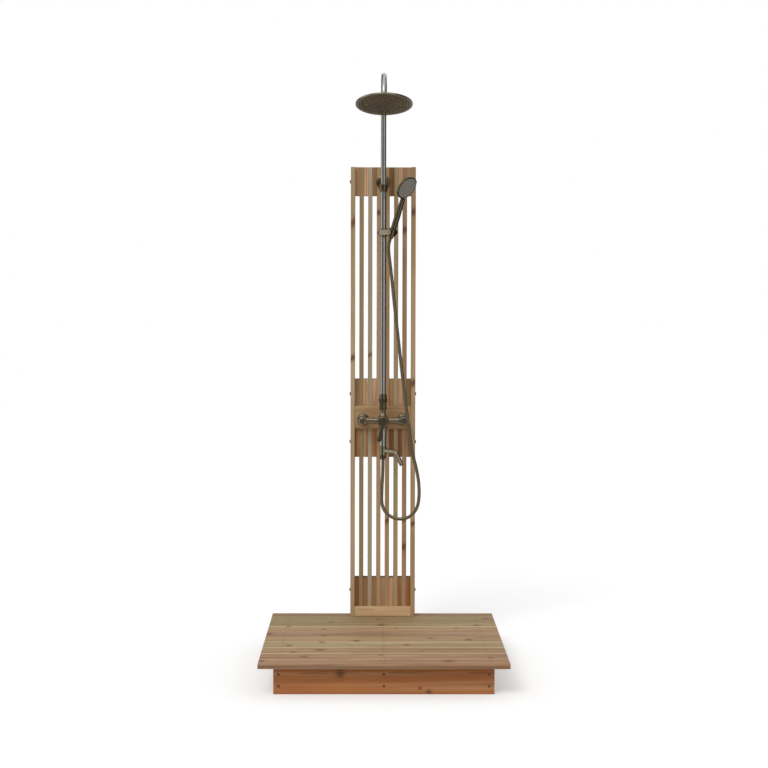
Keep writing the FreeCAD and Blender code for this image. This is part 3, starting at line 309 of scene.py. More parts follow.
def hypotenuse(tree, a, b):
    """How far apart two places are whose distances on two axes are a and b."""
    return figure(tree, "SQRT", plus(tree, times(tree, a, a), times(tree, b, b)))


def rise(tree, value, low, high, top=1.0):
    """A soft step from 0 at low to top at high; low may be the larger, which turns it round."""
    return add(tree, "MapRange", {"Value": value, "From Min": low, "From Max": high, "To Max": top},
               interpolation_type="SMOOTHSTEP")


def tint(tree, factor, under, over, blend="MIX"):
    """One colour laid over another."""
    return add(tree, "Mix", {0: factor, 6: under, 7: over}, give=2, data_type="RGBA", blend_type=blend)


def grey(tree, value):
    """The grey of this brightness."""
    return add(tree, "CombineColor", {0: value, 1: value, 2: value})


def parts(tree, vector):
    """The x, y and z of a vector."""
    node = tree.nodes.new("ShaderNodeSeparateXYZ")
    tree.links.new(vector, node.inputs[0])
    return node.outputs


def object_place(tree):
    """Where a point lies in its object, in metres; the wood and the metal are drawn from this."""
    return tree.nodes.new("ShaderNodeTexCoord").outputs["Object"]


def spread(tree, place, stretch):
    """A place with each of its axes stretched by its own amount."""
    return add(tree, "VectorMath", {0: place, 1: stretch}, operation="MULTIPLY")


def cloud(tree, place, scale=1.0, detail=2.0, roughness=0.5):
    """Soft noise from 0 to 1."""
    return add(tree, "TexNoise", {"Vector": place, "Scale": scale, "Detail": detail,
                                  "Roughness": roughness})


def new_material(name):
    """A material with one Principled shader, and its node tree."""
    material = bpy.data.materials.new(name)
    material.use_nodes = True
    tree = material.node_tree
    shader = next(n for n in tree.nodes if n.type == "BSDF_PRINCIPLED")
    return material, tree, shader


def bare_material(name):
    """A material without a single node, and its empty tree."""
    material = bpy.data.materials.new(name)
    material.use_nodes = True
    material.node_tree.nodes.clear()
    return material, material.node_tree


def dress(piece, material):
    """Give a piece its finish."""
    piece.data.materials.clear()
    piece.data.materials.append(material)


print("helpers ready")

# %% [markdown]
# ## Background, floor and light
# The photograph shows the shower cut out on white. The world is white for the camera and for what
# metal reflects, and a softer white as light, so that colours come out about as they are written.
# Blender tells rays apart by what sent them, so one world can be both.

# %% Background
WHITE = (1.0, 1.0, 1.0, 1.0)
SKY_LIGHT = 0.66

world = bpy.data.worlds.new("white_studio")
bpy.context.scene.world = world
world.use_nodes = True
sky = world.node_tree
sky.nodes.clear()


def seen_rays(tree):
    """1 for rays from the camera or a reflection, and for those through glass."""
    path = tree.nodes.new("ShaderNodeLightPath")
    shown = figure(tree, "MAXIMUM", path.outputs["Is Camera Ray"], path.outputs["Is Glossy Ray"])
    return figure(tree, "MAXIMUM", shown, path.outputs["Is Transmission Ray"])


light_part = add(sky, "Background", {"Color": WHITE, "Strength": SKY_LIGHT})
shown_part = add(sky, "Background", {"Color": WHITE, "Strength": 1.0})
both = add(sky, "MixShader", {0: seen_rays(sky), 1: light_part, 2: shown_part})
sky.links.new(both, sky.nodes.new("ShaderNodeOutputWorld").inputs["Surface"])
bpy.context.scene.view_settings.view_transform = "Standard"
print("sky light", SKY_LIGHT)

# %% [markdown]
# The floor is plain and pale and keeps a soft shadow: it adds a little of its own white for the
# camera, and the shadow takes away only from the lit part. It lies a hair below the deck's frame.

# %% The floor
FLOOR_HALF = 14.0
FLOOR_DROP = 0.2 * MM
FLOOR_GREY = 0.8
FLOOR_GLOW = 0.30


def staged(name, corners, faces):
    """A plain sheet made of the given corners and faces."""
    data = bpy.data.meshes.new(name)
    data.from_pydata(corners, [], faces)
    sheet = into_scene(name, data)
    return sheet


def surface(tree, shader):
    """Make this shader the material's surface."""
    tree.links.new(shader, tree.nodes.new("ShaderNodeOutputMaterial").inputs["Surface"])


floor = staged("floor", [(x * FLOOR_HALF, y * FLOOR_HALF, -FLOOR_DROP)
                         for x, y in ((-1, -1), (1, -1), (1, 1), (-1, 1))], [(0, 1, 2, 3)])
floor_paint, tree = bare_material("pale_floor")
matt = add(tree, "BsdfDiffuse", {"Color": (FLOOR_GREY, FLOOR_GREY, FLOOR_GREY, 1.0)})
glow = add(tree, "Emission", {"Color": WHITE, "Strength": times(tree, seen_rays(tree), FLOOR_GLOW)})
surface(tree, add(tree, "AddShader", {0: matt, 1: glow}))
dress(floor, floor_paint)
print("floor", 2 * FLOOR_HALF, "m square")

# %% [markdown]
# One broad sun lamp from above and the left of the camera models the round metal and lets the slats
# shade one another. It is wide, so its shadow stays soft.

# %% The key light
SUN_STRENGTH = 1.15
SUN_WIDTH = math.radians(28)
SUN_FROM = Vector((-0.55, -1.0, 1.15))

sun_data = bpy.data.lights.new("key", "SUN")
sun_data.energy = SUN_STRENGTH
sun_data.angle = SUN_WIDTH
sun = into_scene("key", sun_data)
sun.rotation_euler = SUN_FROM.to_track_quat("Z", "Y").to_euler()
print("sun height", round(math.degrees(math.asin(SUN_FROM.normalized().z)), 0), "degrees")

# %% [markdown]
# Brushed steel in a white room would look like white paint: it needs something dark to reflect.
# Product photographers stand black cards around it and lay black felt on the floor. Here three
# tall curved cards, each with a foot along the floor and a top that leans in, stand round the
# object, with a bright gap a little to the right of the camera, one on the left and one behind. Only
# reflections see them, so they neither shade the wood nor show in the picture.

# %% Black cards for the metal
CARD_PROFILE = ((1.1, 0.002), (8.0, 0.002), (8.0, 5.0), (5.0, 8.2))  # distance and height, in metres
CARD_SPANS = ((-165, -112), (-66, 14), (48, 150))
CARD_STEPS = 12
CARD_GREY = 0.11


def card(name, first, last):
    """A curved screen round the object between two angles, counted from the camera to the right."""
    rows = len(CARD_PROFILE)
    corners = []
    for k in range(CARD_STEPS + 1):
        angle = math.radians(first + (last - first) * k / CARD_STEPS)
        corners += [(r * math.sin(angle), -r * math.cos(angle), z) for r, z in CARD_PROFILE]
    faces = [(a, a + rows, a + rows + 1, a + 1)
             for k in range(CARD_STEPS) for a in range(rows * k, rows * (k + 1) - 1)]
    screen = staged(name, corners, faces)
    screen.visible_camera = False
    screen.visible_diffuse = False
    screen.visible_shadow = False
    screen.visible_transmission = False
    return screen


card_black, tree = bare_material("black_card")
surface(tree, add(tree, "Emission", {"Color": (CARD_GREY, CARD_GREY, CARD_GREY, 1.0)}))
for k, span in enumerate(CARD_SPANS):
    dress(card(f"card_{k + 1}", *span), card_black)
print("black cards:", CARD_SPANS)

# %% [markdown]
# ## Cedar
# The timber is red cedar: straight grained, with clear dark summer rings, small dark knots, some
# pale sapwood along the boards' edges and a start of silver weathering. All of it comes from one
# node group, which each board feeds with its own facts. Everything is measured in metres along the
# grain, across the board and through it.

# %% The group's sockets
TIMBER_INPUTS = {
    "Place": "Vector", "Middle": "Vector", "Pith": "Vector", "Seed": "Float", "Lean": "Float",
    "Knot 1": "Vector", "Knot 2": "Vector", "Knot 3": "Vector", "Wild knots": "Float",
    "Sap edge": "Float", "Sap": "Float", "Pale": "Color", "Warm": "Color", "Summer": "Color",
    "Weather": "Float", "End": "Float", "Streaks": "Float",
}
TIMBER_OUTPUTS = {"Color": "Color", "Roughness": "Float", "Height": "Float"}

timber = bpy.data.node_groups.new("timber", "ShaderNodeTree")
for in_out, sockets in (("INPUT", TIMBER_INPUTS), ("OUTPUT", TIMBER_OUTPUTS)):
    for name, kind in sockets.items():
        timber.interface.new_socket(name, in_out=in_out, socket_type="NodeSocket" + kind)
print("each board gives the timber", len(TIMBER_INPUTS), "facts")

# %% [markdown]
# A knot is a branch that runs through the board, a little slanted, so it is a distance from a slanted
# line. Up to three knots have chosen places, and a random scatter adds smaller ones. All of
# them give one number: how far the nearest knot is, as a share of its own radius.

# %% Knots
KNOT_CELL = (0.31, 0.085)  # metres along and across the board for each place in the scatter
WILD_KNOT_LEAST = 2.5 * MM
WILD_KNOT_SPREAD = 7 * MM
NO_KNOT = 0.01 * MM


def chosen_knot(tree, along, across, slant, knot):
    """The distance from one of the board's chosen knots, and its radius."""
    knot_along, knot_across, radius = parts(tree, knot)
    from_along = minus(tree, plus(tree, along, slant), knot_along)
    return hypotenuse(tree, from_along, minus(tree, across, knot_across)), radius


def wild_knot(tree, own, share):
    """The distance from the nearest place in a random scatter, and the radius of the knot there."""
    cells = spread(tree, own, (1 / KNOT_CELL[0], 1 / KNOT_CELL[1], 0.0))
    scatter = tree.nodes.new("ShaderNodeTexVoronoi")
    scatter.voronoi_dimensions = "2D"
    feed(tree, scatter, {"Vector": cells, "Scale": 1.0})
    gap = add(tree, "VectorMath", {0: cells, 1: scatter.outputs["Position"]}, operation="SUBTRACT")
    gap = parts(tree, spread(tree, gap, (*KNOT_CELL, 0.0)))
    chance = parts(tree, scatter.outputs["Color"])
    radius = plus(tree, times(tree, chance[1], WILD_KNOT_SPREAD), WILD_KNOT_LEAST)
    return hypotenuse(tree, gap[0], gap[1]), times(tree, figure(tree, "LESS_THAN", chance[0], share), radius)


def nearest_knot(tree, knots, ripple):
    """How far the nearest knot is, as a share of its radius, with a slightly uneven outline."""
    uneven = times(tree, minus(tree, ripple, 0.5), 14 * MM)
    near = None
    for distance, radius in knots:
        share = figure(tree, "DIVIDE", plus(tree, distance, uneven), figure(tree, "MAXIMUM", radius, NO_KNOT))
        near = share if near is None else figure(tree, "MINIMUM", near, share)
    return near


print("wild knots are up to", round((WILD_KNOT_LEAST + WILD_KNOT_SPREAD) / MM, 1), "mm in radius")

# %% [markdown]
# The rings are worked out as they grow, as distances from a pith line that lies below the board and
# drifts a little, so one rule gives flames on a face, stripes on an edge and arcs on an end. Near a
# knot the distance swells, so the rings bend round it. Each year's dark summer wood has its own
# strength.

# %% Growth rings
RING_PITCH = 3.4 * MM


def summer_wood(tree, given, place, wander, ripple, near):
    """How much dark summer wood there is, from 0 to 1."""
    along, across, through = (minus(tree, a, b) for a, b in zip(place, parts(tree, given["Middle"])))
    pith_across, pith_through, drift = parts(tree, given["Pith"])
    deep = plus(tree, minus(tree, through, pith_through), times(tree, drift, along))
    from_pith = hypotenuse(tree, minus(tree, across, pith_across), deep)
    swelling = rise(tree, near, 3.2, 0.6)
    for bend, amount in ((wander, 18 * MM), (ripple, 2.2 * MM), (swelling, 8 * MM)):
        from_pith = plus(tree, from_pith, times(tree, bend, amount))
    years = figure(tree, "DIVIDE", from_pith, RING_PITCH)
    ring = figure(tree, "FRACT", years)
    summer = times(tree, rise(tree, ring, 0.30, 0.90), rise(tree, ring, 1.0, 0.93))
    year = add(tree, "TexWhiteNoise", {"W": figure(tree, "FLOOR", years)}, noise_dimensions="1D")
    return times(tree, summer, plus(tree, 0.45, times(tree, year, 0.55)))


print("rings are", RING_PITCH / MM, "mm apart")

# %% [markdown]
# The colour is laid on in the order in which it came about: the tree's pale and warm patches, its
# streaks and rings, the sapwood along one edge, the sun's silver, and last the knots and the end
# grain, which soaks up dirt. A knot has a dark rim of bark, rings of its own, and a shaded
# margin.

# %% The wood's colours
EARLY_WOOD = seen(206, 184, 146)
SAPWOOD = seen(214, 192, 152)
SILVERED = seen(180, 160, 126)
KNOT_MARGIN = seen(126, 82, 46)
KNOT_OUTSIDE, KNOT_MIDDLE = seen(140, 92, 56), seen(104, 66, 40)
KNOT_RINGS, KNOT_BARK = seen(82, 50, 30), seen(70, 42, 26)
END_GRAIN = seen(98, 70, 46)


def clear_wood(tree, given, own, across, wander, summer):
    """The board's colour where it has no knot."""
    streak = cloud(tree, spread(tree, own, (2.4, 95.0, 95.0)), roughness=0.55)
    band = cloud(tree, spread(tree, own, (1.1, 42.0, 42.0)), detail=1.5)
    patch = cloud(tree, spread(tree, own, (2.0, 12.0, 12.0)))
    wood = tint(tree, rise(tree, patch, 0.30, 0.72), given["Pale"], given["Warm"])
    for noise, low, high, share, colour in ((band, 0.50, 0.78, 0.42, given["Summer"]),
                                            (band, 0.46, 0.26, 0.30, EARLY_WOOD),
                                            (streak, 0.45, 0.80, 0.42, given["Summer"])):
        weight = times(tree, times(tree, rise(tree, noise, low, high), share), given["Streaks"])
        wood = tint(tree, weight, wood, colour)
    contrast = plus(tree, times(tree, given["Streaks"], 0.275), 0.275)
    wood = tint(tree, times(tree, summer, contrast), wood, given["Summer"])
    from_edge = plus(tree, minus(tree, across, given["Sap edge"]),
                     times(tree, minus(tree, wander, 0.5), 30 * MM))
    sap = times(tree, rise(tree, from_edge, -3 * MM, 4 * MM), given["Sap"])
    wood = tint(tree, sap, wood, SAPWOOD)
    silver = times(tree, given["Weather"], plus(tree, 0.55, times(tree, patch, 0.6)))
    return tint(tree, silver, wood, SILVERED)


def knot_wood(tree, near):
    """The colour inside a knot."""
    bark = times(tree, rise(tree, near, 0.70, 0.92), rise(tree, near, 1.06, 0.96))
    branch_ring = rise(tree, figure(tree, "PINGPONG", near, 0.11), 0.02, 0.10)
    heart = tint(tree, rise(tree, near, 0.80, 0.10), KNOT_OUTSIDE, KNOT_MIDDLE)
    heart = tint(tree, times(tree, branch_ring, 0.35), heart, KNOT_RINGS)
    return tint(tree, times(tree, bark, 0.7), heart, KNOT_BARK)


print("a knot's middle, as a shader takes it:", [round(v, 3) for v in KNOT_MIDDLE[:3]])

# %% [markdown]
# The group joins these parts. Each board's seed moves it to another place in the noise, so that no
# two boards are alike. Long stretched noise makes the fibres, which also roughen the face.

# %% The timber itself
SEED_STEPS = (7.31, 3.17, 5.53)


def fill_timber(tree):
    """Every node of the timber group, from its inputs to its outputs."""
    given = tree.nodes.new("NodeGroupInput").outputs
    result = tree.nodes.new("NodeGroupOutput")
    place = parts(tree, given["Place"])
    along, across, through = place
    seeds = {k: times(tree, given["Seed"], step) for k, step in enumerate(SEED_STEPS)}
    seeds = add(tree, "CombineXYZ", seeds)
    own = add(tree, "VectorMath", {0: given["Place"], 1: seeds}, operation="ADD")
    wander = cloud(tree, spread(tree, own, (1.3, 9.0, 9.0)), detail=1.5)
    ripple = cloud(tree, spread(tree, own, (9.0, 45.0, 45.0)), detail=1.0)
    fibre = cloud(tree, spread(tree, own, (26.0, 950.0, 950.0)), detail=3.0, roughness=0.6)

    slant = times(tree, minus(tree, through, parts(tree, given["Middle"])[2]), given["Lean"])
    knots = [wild_knot(tree, own, given["Wild knots"])]
    knots += [chosen_knot(tree, along, across, slant, given[f"Knot {k}"]) for k in (1, 2, 3)]
    near = nearest_knot(tree, knots, ripple)
    knot = rise(tree, near, 1.06, 0.86)
    margin = rise(tree, near, 2.6, 0.9)
    summer = summer_wood(tree, given, place, wander, ripple, near)

    wood = clear_wood(tree, given, own, across, wander, summer)
    wood = tint(tree, times(tree, margin, 0.36), wood, KNOT_MARGIN)
    wood = tint(tree, times(tree, knot, 0.85), wood, knot_wood(tree, near))
    wood = tint(tree, times(tree, given["End"], 0.62), wood, END_GRAIN)
    light = plus(tree, 0.84, times(tree, fibre, 0.32))
    rough = plus(tree, 0.60, times(tree, fibre, 0.26))
    height = plus(tree, times(tree, summer, 0.5), times(tree, fibre, 0.5))
    feed(tree, result, {"Color": tint(tree, 1.0, wood, grey(tree, light), blend="MULTIPLY"),
                        "Roughness": minus(tree, rough, times(tree, knot, 0.14)),
                        "Height": plus(tree, height, times(tree, knot, 0.4))})


fill_timber(timber)
print("timber group has", len(timber.nodes), "nodes")

# %% [markdown]
# The tones have names here, from weathered silver to fresh russet. Each has three colours: the pale
# and the warm side of a board, and its summer wood.

# %% Tones of cedar
TONES = {
    "silver": ((186, 172, 146), (168, 150, 122), (124, 96, 70)),
    "straw": ((182, 162, 124), (164, 138, 100), (122, 92, 58)),
    "olive": ((160, 138, 96), (142, 116, 74), (104, 78, 46)),
    "tan": ((186, 152, 112), (166, 128, 86), (120, 80, 48)),
    "rose": ((184, 146, 112), (160, 116, 82), (114, 70, 46)),
    "blush": ((218, 180, 142), (198, 150, 112), (132, 82, 58)),
    "cream": ((218, 186, 146), (202, 166, 124), (146, 104, 66)),
    "umber": ((158, 116, 72), (130, 88, 50), (86, 54, 30)),
    "russet": ((180, 124, 76), (152, 98, 54), (98, 52, 26)),
    "apron": ((184, 122, 72), (166, 104, 58), (106, 60, 32)),
}
SHADES = ("Pale", "Warm", "Summer")
print("tones:", ", ".join(TONES))

# %% [markdown]
# A board's material only tells the group which way the board runs and what is special about it.
# Where the pith lay and how the knots lean differ from board to board, so they are drawn at random
# from the board's seed. Pieces that share one node also share one material: it counts which
# of them it is on, by place, and takes that one's tone from a ramp with hard steps.

# %% A board's finish
AXES = {"x": 0, "y": 1, "z": 2}
LAYER_SEED = 1.37
# the colour of painted shade, laid on boards where shade falls under the deck's edge
PAINTED_SHADE_COLOUR = seen(66, 40, 24)


def grown(name, order, seed):
    """Where the board lies, where its pith lay and how its knots lean."""
    low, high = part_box(name)
    draw = random.Random(seed)
    width = high[order[1]] - low[order[1]]
    lean = draw.choice((-1, 1)) * draw.uniform(0.3, 0.7)
    pith = (draw.uniform(-0.5, 0.5) * width, -draw.uniform(0.025, 0.075),
            draw.choice((-1, 1)) * draw.uniform(0.006, 0.016))
    return {"Lean": lean, "Pith": pith, "Middle": [(low[axis] + high[axis]) / 2 for axis in order]}


def stepped(tree, share, colours):
    """One of several colours, by a share from 0 to 1, with hard steps between them."""
    node = tree.nodes.new("ShaderNodeValToRGB")
    ramp = node.color_ramp
    ramp.interpolation = "CONSTANT"
    while len(ramp.elements) < len(colours):
        ramp.elements.new(0.5)
    for k, colour in enumerate(colours):
        ramp.elements[k].position = k / len(colours)
        ramp.elements[k].color = seen(*colour)
    tree.links.new(share, node.inputs[0])
    return node.outputs[0]


def layered(tree, place, seed, layers):
    """The seed and the three colours of whichever piece of a shared node this is."""
    axis, start, pitch, tones, split = layers
    number = figure(tree, "DIVIDE", minus(tree, place[AXES[axis]], start * MM), pitch * MM)
    number = figure(tree, "FLOOR", number)
    if split:
        below = figure(tree, "LESS_THAN", place[2], split * MM)
        number = plus(tree, number, times(tree, below, len(tones) / 2))
    share = figure(tree, "DIVIDE", plus(tree, number, 0.5), len(tones))
    feeds = {"Seed": plus(tree, times(tree, number, LAYER_SEED), float(seed))}
    for k, shade in enumerate(SHADES):
        feeds[shade] = stepped(tree, share, [TONES[tone][k] for tone in tones])
    return feeds


def board(name, runs, tone, seed, knots=(), wild=0.35, sap=None, weather=0.15, streaks=1.0,
          painted_shade=None, layers=None):
    """The finish of one board. runs names the axes along, across and through the board."""
    material, tree, shader = new_material("cedar_" + name)
    order = [AXES[a] for a in runs]
    place = parts(tree, object_place(tree))
    normal = parts(tree, tree.nodes.new("ShaderNodeTexCoord").outputs["Normal"])
    feeds = {"Place": add(tree, "CombineXYZ", {k: place[axis] for k, axis in enumerate(order)}),
             "End": rise(tree, figure(tree, "ABSOLUTE", normal[order[0]]), 0.6, 0.9),
             "Seed": float(seed), "Wild knots": wild, "Weather": weather, "Streaks": streaks}
    feeds.update(grown(name, order, seed))
    feeds.update({shade: seen(*colour) for shade, colour in zip(SHADES, TONES[tone])})
    feeds.update({f"Knot {k + 1}": tuple(v * MM for v in knot) for k, knot in enumerate(knots)})
    if sap:
        feeds.update({"Sap edge": sap[0] * MM, "Sap": sap[1]})
    if layers:
        feeds.update(layered(tree, place, seed, layers))
    group = tree.nodes.new("ShaderNodeGroup")
    group.node_tree = timber
    feed(tree, group, feeds)
    colour = group.outputs["Color"]
    # painted shade: the colour darkens towards one end of an axis, standing in for shade
    if painted_shade:
        axis, unshaded_end, dark, amount = painted_shade
        shade_share = rise(tree, place[AXES[axis]], unshaded_end * MM, dark * MM)
        colour = tint(tree, times(tree, figure(tree, "POWER", shade_share, 2.0), amount), colour, PAINTED_SHADE_COLOUR)
    relief = add(tree, "Bump", {"Strength": 0.5, "Distance": 0.5 * MM, "Height": group.outputs["Height"]})
    feed(tree, shader, {"Base Color": colour, "Roughness": group.outputs["Roughness"],
                        "Specular IOR Level": 0.28, "Normal": relief})
    dress(nodes[name], material)


print("a board runs along one of", ", ".join(AXES))

# %% [markdown]
# ### The deck
# Nine full boards and a ripped strip at the back, laid flat side by side. Each has its own tone, its
# own knots where the photograph shows the dark ones, and many keep a pale band of sapwood along
# the edge that faces the post.

# %% Deck boards
DECK = (
    # tone, knots (along, across, radius in mm), sapwood (from, amount)
    ("rose", ((239, -400, 15), (-442, -398, 12), (-9, -400, 4)), (-378, 0.35)),
    ("rose", ((-290, -335, 11), (397, -345, 9), (-9, -305, 7)), (-284, 0.75)),
    ("tan", ((-235, -222, 13), (-333, -258, 8), (150, -240, 5)), (-190, 0.85)),
    ("straw", ((-364, -148, 10), (84, -137, 9), (-240, -92, 7)), (-94, 0.9)),
    ("tan", ((-106, -68, 11), (180, -22, 8), (329, -44, 12)), None),
    ("rose", ((-446, 56, 14), (-229, 25, 10), (-347, 22, 5)), (108, 0.35)),
    ("tan", ((300, 160, 5), (-372, 196, 6), (60, 150, 3)), (188, 0.85)),
    ("olive", ((-9, 224, 15), (374, 214, 12), (-214, 271, 9)), None),
    ("olive", ((-22, 335, 9), (420, 345, 14), (-330, 350, 4)), None),
    ("umber", ((200, 425, 6),), None),
)
# painted shade: the front board's round nose darkens towards its front face
PAINTED_NOSE_SHADE = ("y", -454, -458, 0.45)  # on the round nose of the front board
for k, (tone, knots, sap) in enumerate(DECK):
    board(f"deck_board_{k + 1:02d}", "xyz", tone, seed=11 + k, knots=knots, sap=sap, wild=0.22,
          weather=0.14 + 0.03 * k, streaks=1.3, painted_shade=PAINTED_NOSE_SHADE if k == 0 else None)
print("deck boards finished:", len(DECK))

# %% [markdown]
# ### The frame below the deck
# The front board is fresher than the deck, because it hangs in the shade of the overhang: warm
# orange brown, with one large knot left of the middle. The top of each apron is painted darker, as
# painted shade under the deck's overhang. The joists run from front to back.

# %% Aprons and joists
JOIST_PITCH = 384
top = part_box("front_apron")[1].z / MM
# painted shade: the top 16 mm of each apron darkens, as under the deck's overhang
painted_overhang_shade = ("z", top - 16, top, 0.65)
board("front_apron", "xzy", "apron", seed=31, knots=((-154, 78, 15), (136, 24, 6), (168, 8, 9)),
      wild=0.12, weather=0.0, streaks=0.7, painted_shade=painted_overhang_shade)
board("rear_apron", "xzy", "apron", seed=32, knots=((210, 60, 9),), wild=0.3, weather=0.0,
      painted_shade=painted_overhang_shade)
board("deck_joists", "yzx", "umber", seed=33, wild=0.3, weather=0.05,
      layers=("x", -1.5 * JOIST_PITCH, JOIST_PITCH, ("umber", "russet", "tan"), None))
print("aprons and joists finished")

# %% [markdown]
# ### The post
# Eight long slats stand on edge with short blocks between them at the top, the middle and the foot.
# Each slat was sawn from another board, so the tones change from slat to slat, and the blocks are
# offcuts in any order. The post's width is fifteen layers, slats and blocks by turns, so each set of
# seven blocks is told apart every second layer. In the middle, the blocks below the mixer's board
# take darker tones than those above it: partly their own colour, partly painted shade cast by the board.

# %% Slats and blocks
SLATS = (
    # tone, knots (up the post, back from the deck's middle, radius in mm)
    ("straw", ((1749, 398, 16), (1194, 396, 11), (640, 430, 7))),
    ("olive", ((1660, 440, 8), (890, 425, 6), (300, 430, 9))),
    ("silver", ((1206, 408, 8), (720, 440, 7), (1500, 450, 9))),
    ("tan", ((1330, 440, 9), (1010, 430, 6), (420, 446, 8))),
    ("tan", ((517, 414, 10), (1580, 440, 8), (960, 450, 7))),
    ("straw", ((540, 420, 6), (1440, 442, 9), (1120, 430, 5))),
    ("rose", ((409, 415, 12), (1720, 414, 13), (520, 416, 7))),
    ("tan", ((1090, 399, 12), (1794, 396, 13), (507, 396, 8))),
)
for k, (tone, knots) in enumerate(SLATS):
    board(f"slat_{k + 1}", "zyx", tone, seed=51 + k, knots=knots, wild=0.15, weather=0.22)
LAYER = 17.8
MIXER_HEIGHT = 939  # where the tones change, out of sight behind the mixer's board
# below MIXER_HEIGHT the middle blocks take darker tones, partly their own colour and partly painted shade
# under the mixer's board
BLOCKS = {
    "top_spacers": (None, "blush", "blush", "tan", "tan", "umber", "blush", "cream"),
    "middle_spacers": (MIXER_HEIGHT, "rose", "cream", "blush", "tan", "tan", "blush", "olive",
                       "russet", "tan", "russet", "umber", "umber", "umber", "russet"),
    "bottom_spacers": (None, "russet", "umber", "tan", "rose", "blush", "russet", "russet"),
}
for k, (name, (split, *tones)) in enumerate(BLOCKS.items()):
    board(name, "zyx", "tan", seed=61 + k, wild=0.3, weather=0.0, streaks=1.6,
          layers=("x", -7 * LAYER, 2 * LAYER, tones, split))
board("mixer_board", "xzy", "tan", seed=71, knots=((70, 925, 4),), wild=0.1, weather=0.12)
board("toe_board", "xzy", "cream", seed=72, wild=0.0, weather=0.0, streaks=0.5)
print("slats:", len(SLATS))

# %% [markdown]
# ## Metal
# The pipes and fittings are brushed steel with a dark bronze-grey tone. Brushing leaves very fine
# scratches that run round a turned part, and they spread the highlight. Fine stretched noise in the
# roughness gives that, and slow clouds and dull spots in the colour keep a large surface alive.

# %% Brushed metal
SCRATCH_FINE, SCRATCH_LONG = 1400.0, 30.0
CLOUDY = 0.06
DULL = 0.7


def brushed(name, tone, roughness, along="z", scratch=0.10):
    """Brushed steel whose scratches run square to the axis that is named."""
    material, tree, shader = new_material(name)
    place = object_place(tree)
    stretch = tuple(SCRATCH_FINE if axis == along else SCRATCH_LONG for axis in "xyz")
    lines = cloud(tree, spread(tree, place, stretch), roughness=0.6)
    breath = cloud(tree, place, scale=9.0, detail=3.0)
    spots = cloud(tree, place, scale=30.0, detail=3.0)
    light = plus(tree, 1.0 - 1.5 * CLOUDY, times(tree, breath, 3.0 * CLOUDY))
    colour = tint(tree, 1.0, seen(*tone), grey(tree, light), blend="MULTIPLY")
    dull = seen(*(v * DULL for v in tone))
    rough = plus(tree, roughness - scratch / 2, times(tree, lines, scratch))
    feed(tree, shader, {
        "Base Color": tint(tree, rise(tree, spots, 0.58, 0.82, top=0.25), colour, dull),
        "Roughness": plus(tree, rough, rise(tree, spots, 0.56, 0.82, top=0.07)),
        "Metallic": 1.0})
    return material


pipe_metal = brushed("brushed_pipe", (180, 177, 170), 0.30, scratch=0.02)
fitting_metal = brushed("brushed_fittings", (146, 137, 116), 0.30, along="y", scratch=0.02)
dark_metal = brushed("dark_fittings", (116, 105, 84), 0.34, scratch=0.04)
face_metal = brushed("brushed_rain_face", (122, 108, 86), 0.42)
hose_finish = brushed("wound_hose", (133, 121, 97), 0.33, scratch=0.06)
screw_metal = brushed("dark_screws", (84, 78, 72), 0.45)
print("finishes so far:", len(bpy.data.materials))

# %% [markdown]
# The pipes are the brightest, the larger fittings are bronze grey, and the knobs, the nuts and the
# handset are darker still. The handset's spray face and the liners come later, as they aren't metal.

# %% Metal pieces
METAL_PIECES = (
    (pipe_metal, ("outer_riser", "arch_arm", "lower_column")),
    (fitting_metal, ("mixer_body", "spout", "slider", "rain_head", "spindle", "cartridge",
                     "cartridge_nut", "inlet_tails", "tail_backnuts", "swivel_ball", "swivel_nut",
                     "aerator")),
    (dark_metal, ("wall_bracket", "diverter_knob", "riser_nut", "hose_nut", "hose_cone", "handset",
                  "slider_knob", "handset_holder", "union_nuts", "escutcheons", "lever")),
    (face_metal, ("rain_plate",)),
    (screw_metal, ("foot_screws", "through_bolts", "bolt_nuts")),
)
for finish, names in METAL_PIECES:
    for name in names:
        dress(nodes[name], finish)
for piece in hose_pieces:
    dress(piece, hose_finish)
print("metal nodes:", sum(len(names) for finish, names in METAL_PIECES))

# %% [markdown]
# The slider is a cast bar with generous round edges, which catch the sky as a bright line. A bevel
# on the solid piece gives it that without changing its mesh.

# %% Round edges of the slider
for name, width in (("slider", 9.0), ("handset_holder", 1.2)):
    edge = nodes[name].modifiers.new("round_edges", "BEVEL")
    edge.width = width * MM
    edge.segments = 5
    edge.limit_method = "ANGLE"
    edge.angle_limit = math.radians(50)

# %% [markdown]
# ## Plastic and rubber
# The bushes that keep metal from rubbing on metal are dark acetal, and hardly show. The handset's
# spray face is a moulded grey disc, not metal: it looks evenly grey from any side. The nozzles are
# silicone. All three are slightly mottled, with a fine grain in the shine.

# %% Moulded pieces
def moulded(name, dark, pale, grain, clouds, roughness, swing=0.2, relief=0.2):
    """A moulded plastic or rubber, mottled in its colour and grainy in its shine."""
    material, tree, shader = new_material(name)
    place = object_place(tree)
    grit = cloud(tree, place, scale=grain)
    bump = add(tree, "Bump", {"Strength": relief, "Distance": 0.05 * MM, "Height": grit})
    feed(tree, shader, {"Base Color": tint(tree, cloud(tree, place, scale=clouds), seen(*dark), seen(*pale)),
                        "Roughness": plus(tree, roughness, times(tree, grit, swing)), "Normal": bump})
    return material


